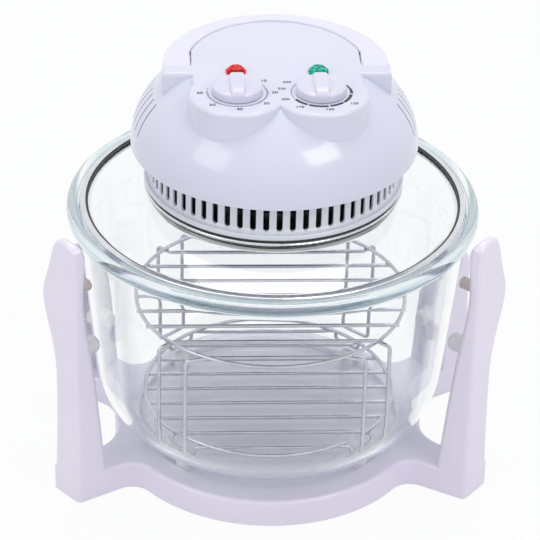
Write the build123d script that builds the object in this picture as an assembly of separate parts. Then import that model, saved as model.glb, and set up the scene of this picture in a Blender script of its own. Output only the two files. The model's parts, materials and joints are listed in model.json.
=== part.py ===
from build123d import *
from math import asin, atan, atan2, cos, degrees, hypot, pi, radians, sin, sqrt, tan
import os

# Halogen oven: a glass bowl on a moulded stand, a glass lid that carries the heating
# and control head, and two wire racks. Millimetres. The origin is on the floor under
# the middle of the bowl, +Z is up, the knobs face -Y and +X is the user's right.

# ---- stand -----------------------------------------------------------------------
FLOOR_GAP = 1.2          # the rubber feet hold the moulding this far off the floor
PLASTIC_WALL = 3.0
TRAY_OVER_FLAT = 31.6    # tray beyond the flat of the bowl's base
STAND_TOP = 25.0
STAND_ROUND = 3.5
RECESS_OVER_FLAT = 12.1
RECESS_DEPTH = 5.0
RIB_THICK = 2.0
RIB_COUNT = 8
RIB_LIFT = 3.0           # ribs stop this far above the rim of the moulding
HUB_RIB_R = 30.0
MIDDLE_RIB_R = 70.0
ARM_ANGLE = 30.6         # arms leave the tray this far forward or back of the X axis
ARM_REACH = 120.0        # length of an arm from its outer end to inside the tray
ARM_FRONT_FILLET = 18.0
ARM_SIDE_FILLET = 34.0
RIDGE_OUT = 19.5         # outer edge of a post beyond the bowl's bead, upright all the way
RIDGE_ANGLE = 31.487     # from the X axis
FACE_ANGLE = 49.5        # heading of a post's outer face from that edge
POST_FOOT_WIDTH = 34.2
POST_FOOT_DEPTH = 29.3
POST_WAIST_WIDTH = 28.4
POST_WAIST_Z = 100.0
POST_CROWN_WIDTH = 42.8
POST_BODY_DEPTHS = ((179.0, 26.0), (131.0, 21.6), (82.0, 15.8), (29.0, 10.5))   # below the rim
POST_BROW_DEPTH = 12.8
POST_CROWN_BELOW_RIM = 39.0
POST_OVER_RIM = 18.0
REAR_POST_TOP = 140.0
REAR_POST_SHOULDER_Z = 92.0
REAR_POST_SHOULDER_DEPTH = 22.8
POST_ROUND = 4.0
REAR_POST_ROUND = 2.5
CORE_BELOW_TOP = 38.0    # the posts are hollow up to this far below their tops

# ---- rubber parts of the stand ----------------------------------------------------
FOOT_R = 9.0
FOOT_SEAT = 2.0          # the feet sit this deep inside the rim
FOOT_INWARD = 42.0       # from the outer end of the arm
FOOT_PIN_R = 3.0
FOOT_PIN_LENGTH = 8.0
FOOT_BOSS_R = 7.0
PIN_FIT = 0.05
SEAT_PAD_R = 6.5
SEAT_PAD_OVER_FLAT = 5.1
SEAT_PAD_ANGLE = 45.7
BUMPER_R = 7.5
BUMPER_ROUND = 5.0
BUMPER_Z = 140.0
REAR_BUMPER_Z = 78.0
BUMPER_CLEARANCE = 7.0   # from the glass
RIM_PAD_R = 5.0
RIM_PAD_ROUND = 1.5
RIM_PAD_BELOW_RIM = 30.0
RIM_PAD_CLEARANCE = 9.0
STEM_R = 2.5
STEM_LENGTH = 5.5
STEM_FIT = 0.1

# ---- bowl -------------------------------------------------------------------------
GLASS_WALL = 4.5
BOWL_LIFT = 8.5          # base of the bowl over the stand
BOWL_DEPTH = 195.5       # from its base to the ledge of its rim
BOWL_FLAT_R = 99.4
BOWL_CORNER_W = 47.4
BOWL_CORNER_H = 61.2
BOWL_LEAN = 5.17         # degrees that the wall leans outward
BEAD_OFFSET = 3.7        # bead centre outside the wall's outer face
BEAD_HALF_W = 5.0
BEAD_HALF_H = 5.75
BEAD_RISE = 1.75         # bead centre over the ledge
BEAD_FILLET = 2.5
SOFT_GAP = 0.3           # between a rubber part and the glass it carries

# ---- racks ------------------------------------------------------------------------
WIRE_R = 1.6
WELD_BITE = 0.5          # a welded crossing sinks this far
HIGH_RACK_OVER_FLAT = 12.6      # ring beyond the flat of the bowl's base
HIGH_RACK_H = 110.0      # cross bars over the bowl's base; the ring lies on them
HIGH_RACK_LEG_SPLAY = 10.0
LOW_RACK_OVER_FLAT = 5.6
LOW_RACK_H = 17.0
LOW_RACK_LEG_SPLAY = 5.0
RACK_BARS = 9
RACK_BAR_SPAN = 0.84     # outermost bars, as a share of the ring's radius
LEG_ANGLES = (54.0, 40.7)
LEG_BEND = 3.5
LEG_BAR_SHARES = (0.85, 0.95)   # shares of the chords where these bars turn to their legs

# ---- lid --------------------------------------------------------------------------
LID_RING_PLAY = 1.13       # inside the bowl's bead
LID_RING_W = 4.5
LID_RING_H = 8.5
STEEL_SHEET = 1.0
SEAL_LIP = 2.1           # of the seal, inside the steel ring
LID_GLASS = 4.0
LID_GLASS_SEAT = 2.3     # glass edge inside the steel ring
LID_EDGE_WIDTH = 4.5
LID_LAND_MARGIN = 1.2    # flat land beyond the seat ring
LID_RISE = 22.9          # land over the bowl's ledge
LID_HOLE_R = 96.0
LID_DOME_R = 190.0
SEAT_RING_STEP = 0.2     # inside the vent ring's lip
SEAT_RING_H = 2.8
GASKET_STEP = 1.4
GASKET_H = 2.0
LOWER_GASKET_H = 1.0

# ---- head -------------------------------------------------------------------------
DOME_OVERHANG = 16.2     # of the head beyond the vent ring, at least
SHOULDER_COVER = 25.3    # and beyond its own shoulders
DOME_H = 81.4
DECK_RISE = 68.0         # deck over the head's lower edge
CREASE_Y = 0.2
ROOF_FALL = 4.8          # degrees that the roof falls behind the crease
KNOB_X = 32.4
KNOB_Y = -50.5
DIAL_W = 18.0            # dial round each knob
DECK_IN = 3.4            # side of the deck inside the outer side of the dial
SHOULDER_W = 23.2
SHOULDER_FRONT_Y = -18.0
LOBE_FLOOR_RISE = 9.5    # the raised forms start this far up, inside the dome
PLATFORM_ROUND = 3.0
LOUVRE_COUNT = 6         # on each side
LOUVRE_PITCH = 5.5       # degrees
LOUVRE_W = 2.0
LOUVRE_RISE = 16.0
LOUVRE_H = 27.5
VENT_OVER_HOLE = 3.3     # vent ring beyond the lid's hole
VENT_H = 33.8            # from the gasket to the head
VENT_WALL = 2.5
LIP_OUT = 5.7
LIP_H = 4.5
LIP_EDGE = 1.2
SLOT_COUNT = 60
SLOT_W = 4.8
SLOT_OVER_BASE = 5.9
SLOT_UNDER_HEAD = 4.0
FLANGE_CLEARANCE = 0.4
FLANGE_THICK = 2.5
HEAD_BOSS_INSIDE = 10.0  # from the head's edge
HEAD_BOSS_R = 4.5
HEAD_SCREW_R = 1.5
HEAD_SCREW_LENGTH = 12.0
SCREW_HEAD_R = 3.4
SCREW_HEAD_H = 2.2
SCREW_CLEARANCE = 0.3
FIRST_BOSS_ANGLE = 45.0

# ---- handle -----------------------------------------------------------------------
HANDLE_STEP = 0.2        # inside the shoulders
HANDLE_W = 19.0
HANDLE_GAP = 0.5         # over the dome and beside the deck
HANDLE_ROUND = 2.0
PIVOT_Y = 4.0
PIVOT_UNDER_DECK = 6.5
HUB_R = 10.5
HUB_CLEARANCE = 0.3
PIVOT_PIN_R = 3.0
PIVOT_RUN_FIT = 0.06
PIVOT_BOSS_R = 6.5
PIVOT_INSIDE = 6.2       # pin end inside the shoulder
PIVOT_LENGTH = 32.0
LUG_INSIDE = 11.2
LUG_Y = 22.0
LUG_R = 2.5
LUG_UNDER_DECK = 16.5
LUG_WINDOW_R = 5.0
PLUNGER_R = 2.0
PLUNGER_GAP = 0.3
SWITCH_SIZE = (20.0, 11.0, 14.0)
SWITCH_UNDER_DECK = 27.5
SWITCH_RIB = 3.0

# ---- knobs, timer and thermostat --------------------------------------------------
KNOB_R = 20.0
KNOB_SKIRT_H = 6.0
KNOB_DOME_H = 11.5
KNOB_H = 18.0
KNOB_GRIP_W = 12.0
KNOB_GRIP_TAPER = 5.0    # degrees
KNOB_EDGE_ROUND = 1.5
KNOB_GAP = 0.5           # under the skirt
KNOB_BORE_DEPTH = 9.0
KNOB_STEM_R = 5.5
KNOB_SHELL = 2.2
SHAFT_R = 3.0
SHAFT_FIT = 0.05
BUSH_R = 4.8
BUSH_FIT = 0.2
TIMER_SIZE = (46.0, 42.0, 26.0)
BELL_R = 17.0
BELL_H = 9.0
BELL_GAP = 1.0
THERMOSTAT_R = 16.0
THERMOSTAT_H = 20.0
PROBE_R = 2.5
PROBE_LENGTH = 34.0
PROBE_ANGLE = 8.0
LENS_Y = -16.2
LENS_R = 8.0
LENS_H = 4.5
LENS_SIDES = 16
LENS_STEM_R = 4.8
LENS_STEM_LENGTH = 10.0
NEON_R = 6.5
NEON_H = 18.0

# ---- heater and motor -------------------------------------------------------------
PAN_PLAY = 10.0          # pan inside the lid's hole
PAN_FLANGE_W = 16.0
PAN_ROOF_RISE = 19.1     # over the lid's land
CLAMP_INSIDE = 5.0       # screw circle inside the lid's hole
CLAMP_BOSS_R = 4.0
CLAMP_BOSS_GAP = 0.4
GUARD_SLOTS = 24
GUARD_SLOT_W = 6.0
GUARD_SLOT_IN_R = 26.0
GUARD_RIM_W = 7.0
LAMP_INSIDE = 16.0       # tube's centre line inside the pan
LAMP_TUBE_R = 5.0
LAMP_BORE_R = 3.8
LAMP_UNDER_ROOF = 14.0
LAMP_SWEEP = 336.0
FILAMENT_R = 1.0
END_CAP = (9.0, 14.0, 13.0)
CLIP_W = 4.0
CLIP_ANGLES = (90.0, 180.0, 270.0)
FAN_TIP_GAP = 11.0       # to the tube
FAN_UNDER_ROOF = 7.0
FAN_BLADES = 12
FAN_BLADE_H = 11.0
FAN_BLADE_IN_R = 24.0
FAN_SHEET = 1.2
FAN_HUB_R = 8.0
FAN_BLADE_LEAN = 25.0
MOTOR_SHAFT_UNDER_ROOF = 23.0
MOTOR_SHAFT_OVER_ROOF = 51.0
SHAFT_HOLE_R = 7.0
STANDOFF_R = 3.5
STANDOFF_H = 11.0
STANDOFF_X = 32.0
STANDOFF_Y = 24.0
BRIDGE_SIZE = (76.0, 60.0, 1.5)
CORE_SIZE = (56.0, 50.0, 18.0)
CORE_LIFT = 4.0
ROTOR_R = 14.6
ROTOR_GAP = 0.4
END_PLATE_SIZE = (52.0, 16.0, 2.0)
BEARING_R = 7.0
BEARING_H = 4.0
COIL_SIZE = (26.0, 16.0, 26.0)
MOTOR_SCREW_X = 21.0
MOTOR_SCREW_R = 1.6
COOLING_FAN_R = 34.0
COOLING_FAN_BLADES = 9
COOLING_FAN_H = 8.0
NUT_R = 5.0
NUT_H = 3.5
CUTOUT_R = 8.0
CUTOUT_H = 6.0
CUTOUT_INSIDE = 32.0     # from the pan's side
CUTOUT_Y = -34.0
TERMINAL_SIZE = (30.0, 14.0, 12.0)
TERMINAL_X = -20.0
TERMINAL_GAP = 2.0       # from the motor's bracket
LEAD_R = 1.2
LEAD_INSIDE = 7.8        # from the vent ring's wall
LEAD_BEND = 5.0
LEAD_LIFTS = (6.0, 10.0, 14.0)   # above the pan
LEAD_TURN = 221.0        # heading of the bend before the leads rise
LEAD_RISES = (237.0, 234.5, 232.0)
LEAD_RISE_INSIDE = 5.0   # from the leads' circle

# ---- cord gland -------------------------------------------------------------------
GLAND_RISE = 15.0        # over the head's lower edge
GLAND_BORE_R = 3.6
GLAND_BODY_R = 6.5
GLAND_FLANGE_R = 9.5
GLAND_FLANGE_H = 2.5
GLAND_SPOUT_H = 9.0
GLAND_BOSS_R = 11.0
GLAND_INSIDE = 5.0
GLAND_FIT = 0.15

# ---- sizes that follow from the bowl -----------------------------------------------
BOWL_BASE_Z = STAND_TOP + BOWL_LIFT
BOWL_CORNER_Z = BOWL_BASE_Z + BOWL_CORNER_H
LEDGE_Z = BOWL_BASE_Z + BOWL_DEPTH   # the lid's rim rests here
BEAD_Z = LEDGE_Z + BEAD_RISE


def bowl_radius(z):
    """Outer radius of the bowl's wall or corner at a height."""
    slope = tan(radians(BOWL_LEAN))
    end = atan(slope * BOWL_CORNER_H / BOWL_CORNER_W)
    join_z = BOWL_CORNER_Z - BOWL_CORNER_H * sin(end)
    if z < join_z:
        return BOWL_FLAT_R + BOWL_CORNER_W * sqrt(1 - ((BOWL_CORNER_Z - z) / BOWL_CORNER_H) ** 2)
    return BOWL_FLAT_R + BOWL_CORNER_W * cos(end) + (z - join_z) * slope


BEAD_R = bowl_radius(BEAD_Z) + BEAD_OFFSET
TRAY_R = BOWL_FLAT_R + TRAY_OVER_FLAT
RECESS_R = BOWL_FLAT_R + RECESS_OVER_FLAT
SEAT_PAD_ORBIT = BOWL_FLAT_R + SEAT_PAD_OVER_FLAT
RIDGE_ORBIT = BEAD_R + BEAD_HALF_W + RIDGE_OUT
RIDGE = (RIDGE_ORBIT * cos(radians(RIDGE_ANGLE)), -RIDGE_ORBIT * sin(radians(RIDGE_ANGLE)))
POST_CROWN_Z = LEDGE_Z - POST_CROWN_BELOW_RIM
POST_TOP = LEDGE_Z + POST_OVER_RIM
RIM_PAD_Z = LEDGE_Z - RIM_PAD_BELOW_RIM
HIGH_RACK_R = BOWL_FLAT_R + HIGH_RACK_OVER_FLAT
HIGH_RACK_LEG_R = HIGH_RACK_R + HIGH_RACK_LEG_SPLAY
HIGH_RACK_Z = BOWL_BASE_Z + HIGH_RACK_H
LOW_RACK_R = BOWL_FLAT_R + LOW_RACK_OVER_FLAT
LOW_RACK_LEG_R = LOW_RACK_R + LOW_RACK_LEG_SPLAY
LOW_RACK_Z = BOWL_BASE_Z + LOW_RACK_H

# ---- sizes that follow from the lid's rim and hole ---------------------------------
LID_RING_R = BEAD_R - BEAD_HALF_W - LID_RING_PLAY
LID_RING_INNER_R = LID_RING_R - LID_RING_W
SEAL_INNER_R = LID_RING_INNER_R - SEAL_LIP
LID_GLASS_R = LID_RING_INNER_R + LID_GLASS_SEAT
LID_LAND_Z = LEDGE_Z + LID_RISE
VENT_R = LID_HOLE_R + VENT_OVER_HOLE
LIP_R = VENT_R + LIP_OUT
SEAT_RING_R = LIP_R - SEAT_RING_STEP
GASKET_R = LIP_R - GASKET_STEP
LID_LAND_R = SEAT_RING_R + LID_LAND_MARGIN
VENT_BASE_Z = LID_LAND_Z + SEAT_RING_H + GASKET_H
SLOT_LOW_Z = VENT_BASE_Z + SLOT_OVER_BASE
PAN_R = LID_HOLE_R - PAN_PLAY
PAN_FLANGE_R = PAN_R + PAN_FLANGE_W
PAN_ROOF_Z = LID_LAND_Z + PAN_ROOF_RISE
CLAMP_ORBIT = LID_HOLE_R - CLAMP_INSIDE
GUARD_SLOT_OUT_R = PAN_R - GUARD_RIM_W
LAMP_R = PAN_R - LAMP_INSIDE
LAMP_Z = PAN_ROOF_Z - LAMP_UNDER_ROOF
FAN_R = LAMP_R - LAMP_TUBE_R - FAN_TIP_GAP
FAN_DISC_Z = PAN_ROOF_Z - FAN_UNDER_ROOF
MOTOR_SHAFT_LOW_Z = PAN_ROOF_Z - MOTOR_SHAFT_UNDER_ROOF
MOTOR_SHAFT_HIGH_Z = PAN_ROOF_Z + MOTOR_SHAFT_OVER_ROOF
CUTOUT_PLACE = (PAN_R - CUTOUT_INSIDE, CUTOUT_Y)
TERMINAL_PLACE = (TERMINAL_X, -(BRIDGE_SIZE[1] + TERMINAL_SIZE[1]) / 2 - TERMINAL_GAP)
LEAD_ORBIT = VENT_R - VENT_WALL - LEAD_INSIDE

# ---- sizes that follow from the head -----------------------------------------------
DOME_BASE_Z = VENT_BASE_Z + VENT_H
SLOT_HIGH_Z = DOME_BASE_Z - SLOT_UNDER_HEAD
PLATFORM_Z = DOME_BASE_Z + DECK_RISE
LOBE_FLOOR_Z = DOME_BASE_Z + LOBE_FLOOR_RISE
LOUVRE_LOW_Z = DOME_BASE_Z + LOUVRE_RISE
LOUVRE_HIGH_Z = LOUVRE_LOW_Z + LOUVRE_H
LOBE_R = KNOB_R + DIAL_W
DECK_HALF_W = KNOB_X + LOBE_R - DECK_IN
SHOULDER_HALF_W = DECK_HALF_W + SHOULDER_W
DOME_R = max(VENT_R + DOME_OVERHANG, SHOULDER_HALF_W + SHOULDER_COVER)
HEAD_BOSS_ORBIT = DOME_R - HEAD_BOSS_INSIDE
HANDLE_OUTER_R = SHOULDER_HALF_W - HANDLE_STEP
HANDLE_INNER_R = HANDLE_OUTER_R - HANDLE_W
PIVOT_Z = PLATFORM_Z - PIVOT_UNDER_DECK
PIVOT_OUTER_X = SHOULDER_HALF_W - PIVOT_INSIDE
PIVOT_INNER_X = PIVOT_OUTER_X - PIVOT_LENGTH
LUG_X = SHOULDER_HALF_W - LUG_INSIDE
LUG_LOW_Z = PLATFORM_Z - LUG_UNDER_DECK
SWITCH_TOP_Z = PLATFORM_Z - SWITCH_UNDER_DECK
GLAND_Z = DOME_BASE_Z + GLAND_RISE

# ---- other derived sizes -----------------------------------------------------------
TRAY_FLOOR_Z = STAND_TOP - RECESS_DEPTH
LID_RING_TOP = LEDGE_Z + LID_RING_H
SEAL_LOW_Z = LEDGE_Z + STEEL_SHEET
SEAL_HIGH_Z = LID_RING_TOP - STEEL_SHEET
LID_EDGE_LOW_Z = (SEAL_LOW_Z + SEAL_HIGH_Z - LID_GLASS) / 2
LID_EDGE_HIGH_Z = LID_EDGE_LOW_Z + LID_GLASS
LAND_LOW_Z = LID_LAND_Z - LID_GLASS
PAN_FLANGE_TOP_Z = LAND_LOW_Z - LOWER_GASKET_H
PAN_FLANGE_LOW_Z = PAN_FLANGE_TOP_Z - STEEL_SHEET
GUARD_LOW_Z = PAN_FLANGE_LOW_Z - STEEL_SHEET
FLANGE_LOW_Z = DOME_BASE_Z + 0.5
FLANGE_TOP_Z = FLANGE_LOW_Z + FLANGE_THICK
DECK_UNDER_Z = PLATFORM_Z - PLASTIC_WALL
BRIDGE_LOW_Z = PAN_ROOF_Z + STANDOFF_H
BRIDGE_TOP_Z = BRIDGE_LOW_Z + BRIDGE_SIZE[2]
CORE_LOW_Z = BRIDGE_TOP_Z + CORE_LIFT
CORE_TOP_Z = CORE_LOW_Z + CORE_SIZE[2]
COOLING_FAN_Z = CORE_TOP_Z + END_PLATE_SIZE[2] + BEARING_H + 2.0
QUARTERS = [FIRST_BOSS_ANGLE + 90 * i for i in range(4)]


# ---- helpers ----------------------------------------------------------------------
def turned(*points):
    """Solid turned about Z from an outline of radius and height."""
    return revolve(Plane.XZ * make_face(Polyline(*points, close=True)), Axis.Z)


def ring(inner, outer, low, high):
    """Plain ring about Z."""
    return turned((inner, low), (outer, low), (outer, high), (inner, high))


def rod(radius, low, high, x=0.0, y=0.0):
    """Upright cylinder between two heights."""
    return Pos(x, y, low) * extrude(Circle(radius), high - low)


def block(size, low, x=0.0, y=0.0):
    """Upright box standing on a height."""
    return Pos(x, y, low) * extrude(Rectangle(size[0], size[1]), size[2])


def bar_x(radius, x_from, x_to, y, z):
    """Cylinder along X."""
    start = Plane((x_from, y, z), x_dir=(0, 1, 0), z_dir=(1, 0, 0))
    return start * extrude(Circle(radius), x_to - x_from)


def bar_y(radius, y_from, y_to, x, z):
    """Cylinder along Y."""
    start = Plane((x, y_from, z), x_dir=(-1, 0, 0), z_dir=(0, 1, 0))
    return start * extrude(Circle(radius), y_to - y_from)


def polar(radius, angle, z=0.0):
    """Point at a radius and an angle in degrees about Z."""
    return Vector(radius * cos(radians(angle)), radius * sin(radians(angle)), z)


def round_edges(shape, radius):
    """Circular edges of a radius."""
    return [e for e in shape.edges().filter_by(GeomType.CIRCLE) if abs(e.radius - radius) < 0.01]


def fuse(shapes):
    """One shape from several."""
    shapes = list(shapes)
    return shapes[0] + shapes[1:] if len(shapes) > 1 else shapes[0]


def both_sides(shape):
    """A shape and its mirror image in the YZ plane."""
    return shape + mirror(shape, Plane.YZ)


def save(name, shape):
    """Write one node."""
    solids = shape.solids()
    body = solids[0] if len(solids) == 1 else Compound(children=list(solids))
    body.label = name
    export_step(body, os.path.join("parts", name + ".step"))


# ---- stand ------------------------------------------------------------------------
def ridge_point():
    return Vector(RIDGE[0], RIDGE[1], 0)


def along_face():
    """Unit vector from a post's ridge along its outer face."""
    return polar(1, FACE_ANGLE)


def inward():
    """Unit vector from a post along its arm towards the tray."""
    return polar(1, 180 - ARM_ANGLE)


def stand_plan():
    """Outline of the tray and its four arms."""
    ridge = ridge_point()
    corner = ridge + along_face() * POST_FOOT_WIDTH
    reach = inward() * ARM_REACH
    arm = make_face(Polyline(ridge, corner, corner + reach, ridge + reach, close=True))
    pair = arm + mirror(arm, Plane.YZ)
    plan = Circle(TRAY_R) + pair + mirror(pair, Plane.XZ)
    joints = [v for v in plan.vertices() if abs(hypot(v.X, v.Y) - TRAY_R) < 0.01 and abs(v.Y) > 1]
    middle = sum(abs(v.Y) for v in joints) / len(joints)
    plan = fillet([v for v in joints if abs(v.Y) > middle], ARM_FRONT_FILLET)
    joints = [v for v in plan.vertices() if abs(hypot(v.X, v.Y) - TRAY_R) < 0.01]
    plan = fillet([v for v in joints if 1 < abs(v.Y) < middle], ARM_SIDE_FILLET)
    front = [v for v in plan.vertices() if abs(v.X) > TRAY_R and v.Y < -1]
    plan = fillet([v for v in front if abs(v.X) > RIDGE[0] - 1], POST_ROUND)
    rear = [v for v in plan.vertices() if abs(v.X) > RIDGE[0] - 1 and v.Y > RIDGE[1] * -0.5]
    return fillet(rear, REAR_POST_ROUND)


def width_outline(inset, top, crown):
    """Front outline of a post from ridge to outer edge, over its height."""
    foot = (POST_FOOT_WIDTH - inset, FLOOR_GAP)
    waist = (POST_WAIST_WIDTH - inset, POST_WAIST_Z)
    if crown:
        knee = (POST_WAIST_WIDTH + 3.6 - inset, (POST_WAIST_Z + POST_CROWN_Z) / 2)
        widest = (POST_CROWN_WIDTH - inset, POST_CROWN_Z)
        over = (POST_CROWN_WIDTH * 0.77 - inset, POST_CROWN_Z + (top - POST_CROWN_Z) * 0.56)
        peak = (POST_CROWN_WIDTH * 0.33, top)
        side = Spline(foot, waist, knee, widest, over, peak, tangents=[(-0.1, 1), (-1, 0)])
    else:
        peak = (POST_WAIST_WIDTH * 0.5, top)
        side = Line(foot, waist) + Spline(waist, peak, tangents=[(-0.05, 1), (-1, 0)])
    brow = ThreePointArc(peak, (peak[0] * 0.4 + inset * 0.6, top - 1.6), (inset, top - 6))
    edge = Line((inset, top - 6), (inset, FLOOR_GAP))
    return make_face([side, brow, edge, Line((inset, FLOOR_GAP), foot)])


def depth_outline(inset, top, crown):
    """Side outline of a post from ridge to the bowl side, over its height."""
    foot = (POST_FOOT_DEPTH - inset, FLOOR_GAP)
    depth = (POST_BROW_DEPTH if crown else REAR_POST_SHOULDER_DEPTH) - 2 * inset
    if crown:
        body = [(across - inset, LEDGE_Z - below) for below, across in POST_BODY_DEPTHS]
        brow = (inset + depth, top - 14)
        back = Spline(foot, *body, brow, tangents=[(-0.03, 1), (0.03, 1)])
        crest = ThreePointArc(brow, (inset + depth * 0.75, top - 4.5), (inset + depth * 0.42, top + 0.5))
    else:
        brow = (inset + depth, REAR_POST_SHOULDER_Z)
        back = Line(foot, brow)
        over = (inset + depth * 0.62, (brow[1] + top) / 2 + 6)
        crest = ThreePointArc(brow, over, (inset + depth * 0.15, top + 1))
    end = crest @ 1
    lid = Line(end, (inset, end.Y))
    return make_face([back, crest, lid, Line(lid @ 1, (inset, FLOOR_GAP)), Line((inset, FLOOR_GAP), foot)])


def post_form(inset, top, crown):
    """Front right post, solid, or moved inward by inset."""
    up = Vector(0, 0, 1)
    face_plane = Plane(ridge_point(), x_dir=along_face(), z_dir=along_face().cross(up))
    side_plane = Plane(ridge_point(), x_dir=inward(), z_dir=inward().cross(up))
    front = extrude(face_plane * width_outline(inset, top, crown), 2 * POST_FOOT_DEPTH, dir=inward())
    side = extrude(side_plane * depth_outline(inset, top, crown), 2 * POST_CROWN_WIDTH, dir=along_face())
    return front & side


def rounded_post(top, crown):
    """Post with every edge above its foot rounded."""
    post = post_form(0, top, crown)
    edges = [e for e in post.edges() if e.center().Z > FLOOR_GAP + 1]
    return fillet(edges, POST_ROUND if crown else REAR_POST_ROUND)


def post_core(top, crown):
    """Hollow inside a post."""
    core = post_form(PLASTIC_WALL, top, crown)
    height = (top if crown else REAR_POST_SHOULDER_Z + CORE_BELOW_TOP - 6) - CORE_BELOW_TOP
    return core & block((2 * TRAY_R + 200, 2 * TRAY_R + 200, height), 0)


def foot_place():
    """Centre of the front right rubber foot."""
    return ridge_point() + along_face() * (POST_FOOT_WIDTH / 2) + inward() * FOOT_INWARD


def front_pair(shape):
    return both_sides(shape)


def rear_pair(shape):
    return both_sides(mirror(shape, Plane.XZ))


def four_corners(shape):
    return front_pair(shape) + rear_pair(shape)


def base_stand():
    plan = stand_plan()
    hollow_plan = offset(plan, -PLASTIC_WALL)
    under_floor = TRAY_FLOOR_Z - PLASTIC_WALL
    body = Pos(0, 0, FLOOR_GAP) * extrude(plan, STAND_TOP - FLOOR_GAP)
    body = fillet(body.edges().group_by(Axis.Z)[-1], STAND_ROUND)
    body -= rod(RECESS_R, TRAY_FLOOR_Z, STAND_TOP + 1)
    body += front_pair(rounded_post(POST_TOP, True)) + rear_pair(rounded_post(REAR_POST_TOP, False))
    hollow = extrude(hollow_plan, under_floor)
    arms = hollow_plan - Circle(RECESS_R + PLASTIC_WALL)
    hollow += Pos(0, 0, under_floor) * extrude(arms, STAND_TOP - PLASTIC_WALL - under_floor)
    hollow += front_pair(post_core(POST_TOP, True)) + rear_pair(post_core(REAR_POST_TOP, False))
    body -= hollow
    body += stand_ribs(hollow_plan, under_floor)
    place = foot_place()
    boss = rod(FOOT_BOSS_R, FLOOR_GAP + FOOT_SEAT, STAND_TOP - PLASTIC_WALL, place.X, place.Y)
    socket = rod(FOOT_PIN_R + PIN_FIT, 0, FLOOR_GAP + FOOT_SEAT + FOOT_PIN_LENGTH + 1, place.X, place.Y)
    body = body + four_corners(boss) - four_corners(socket)
    for place in bumper_places():
        body -= at_bumper(place, STEM_R + STEM_FIT, 3, -STEM_LENGTH - 1)
    return body


def stand_ribs(hollow_plan, under_floor):
    """Ribs under the tray."""
    low = FLOOR_GAP + RIB_LIFT
    rib = Pos(0, 0, low) * extrude(Rectangle(2 * TRAY_R, RIB_THICK), under_floor - low)
    web = fuse(Rot(0, 0, 360 * (i + 0.5) / RIB_COUNT) * rib for i in range(RIB_COUNT // 2))
    web &= extrude(Circle(TRAY_R - PLASTIC_WALL), under_floor)
    for radius in (HUB_RIB_R, MIDDLE_RIB_R):
        web += ring(radius - RIB_THICK, radius, low, under_floor)
    return web


# ---- rubber parts -----------------------------------------------------------------
def bumper_direction():
    """Level unit vector from a post's inner face towards the bowl."""
    return polar(1, FACE_ANGLE + 90)


def bumper_places():
    """Where the soft stops leave the post faces: point, top and clearance of each pair."""
    places = []
    for z, top, crown, radius, clearance, share in (
        (BUMPER_Z, POST_TOP, True, BUMPER_R, BUMPER_CLEARANCE, 0.5),
        (RIM_PAD_Z, POST_TOP, True, RIM_PAD_R, RIM_PAD_CLEARANCE, 0.45),
        (REAR_BUMPER_Z, REAR_POST_TOP, False, BUMPER_R, BUMPER_CLEARANCE, 0.5),
    ):
        post = post_form(0, top, crown)
        start = ridge_point() + along_face() * (POST_WAIST_WIDTH * share) + Vector(0, 0, z)
        hits = post.find_intersection_points(Axis(start, bumper_direction()))
        seat = max((h[0] for h in hits), key=lambda p: (p - start).dot(bumper_direction()))
        places.append((seat, crown, radius, clearance))
    return places


def at_bumper(place, radius, start, end):
    """Cylinder along a stop's axis on both posts of its pair."""
    seat, crown = place[0], place[1]
    low = min(start, end)
    plane = Plane(seat + bumper_direction() * low, z_dir=bumper_direction())
    pin = plane * extrude(Circle(radius), abs(end - start))
    return front_pair(pin) if crown else rear_pair(pin)


def stop(place, rounding):
    """Rubber stop with its stem through the post's wall."""
    seat, crown, radius, clearance = place
    heading = bumper_direction()
    target = bowl_radius(seat.Z) + clearance
    towards = seat.X * heading.X + seat.Y * heading.Y
    length = -towards - sqrt(towards**2 - seat.X**2 - seat.Y**2 + target**2)
    plane = Plane(seat - heading * radius, z_dir=heading)
    body = plane * extrude(Circle(radius), length + radius)
    tip = body.edges().sort_by(lambda e: (e.center() - seat).dot(heading))[-1]
    body = fillet(tip, rounding) - post_form(0, POST_TOP if crown else REAR_POST_TOP, crown)
    stem = Plane(seat - heading * STEM_LENGTH, z_dir=heading) * extrude(Circle(STEM_R), STEM_LENGTH + 1)
    return body + stem


def post_bumpers():
    front, _, rear = bumper_places()
    return front_pair(stop(front, BUMPER_ROUND)) + rear_pair(stop(rear, BUMPER_ROUND))


def rim_pads():
    return front_pair(stop(bumper_places()[1], RIM_PAD_ROUND))


def rubber_feet():
    place = foot_place()
    seat = FLOOR_GAP + FOOT_SEAT
    foot = rod(FOOT_R, 0, seat, place.X, place.Y)
    foot = fillet(foot.edges().group_by(Axis.Z)[0], 1.0)
    return four_corners(foot + rod(FOOT_PIN_R, seat, seat + FOOT_PIN_LENGTH, place.X, place.Y))


def bowl_seat_pads():
    place = polar(SEAT_PAD_ORBIT, -SEAT_PAD_ANGLE)
    pad = rod(SEAT_PAD_R, TRAY_FLOOR_Z, BOWL_BASE_Z + SEAT_PAD_R, place.X, place.Y)
    return four_corners(pad - bowl_form(SOFT_GAP, BOWL_CORNER_Z))


# ---- bowl -------------------------------------------------------------------------
def bowl_floor(radius):
    """Height of the bowl's inner surface at a radius on the rounded corner."""
    across = (radius - BOWL_FLAT_R) / (BOWL_CORNER_W - GLASS_WALL)
    return BOWL_CORNER_Z - (BOWL_CORNER_H - GLASS_WALL) * sqrt(1 - across**2)


def floor_stretch(radius):
    """Height over the rounded corner for each millimetre square to its surface."""
    across = (radius - BOWL_FLAT_R) / (BOWL_CORNER_W - GLASS_WALL)
    slope = (BOWL_CORNER_H - GLASS_WALL) / (BOWL_CORNER_W - GLASS_WALL) * across / sqrt(1 - across**2)
    return sqrt(1 + slope**2)


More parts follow.
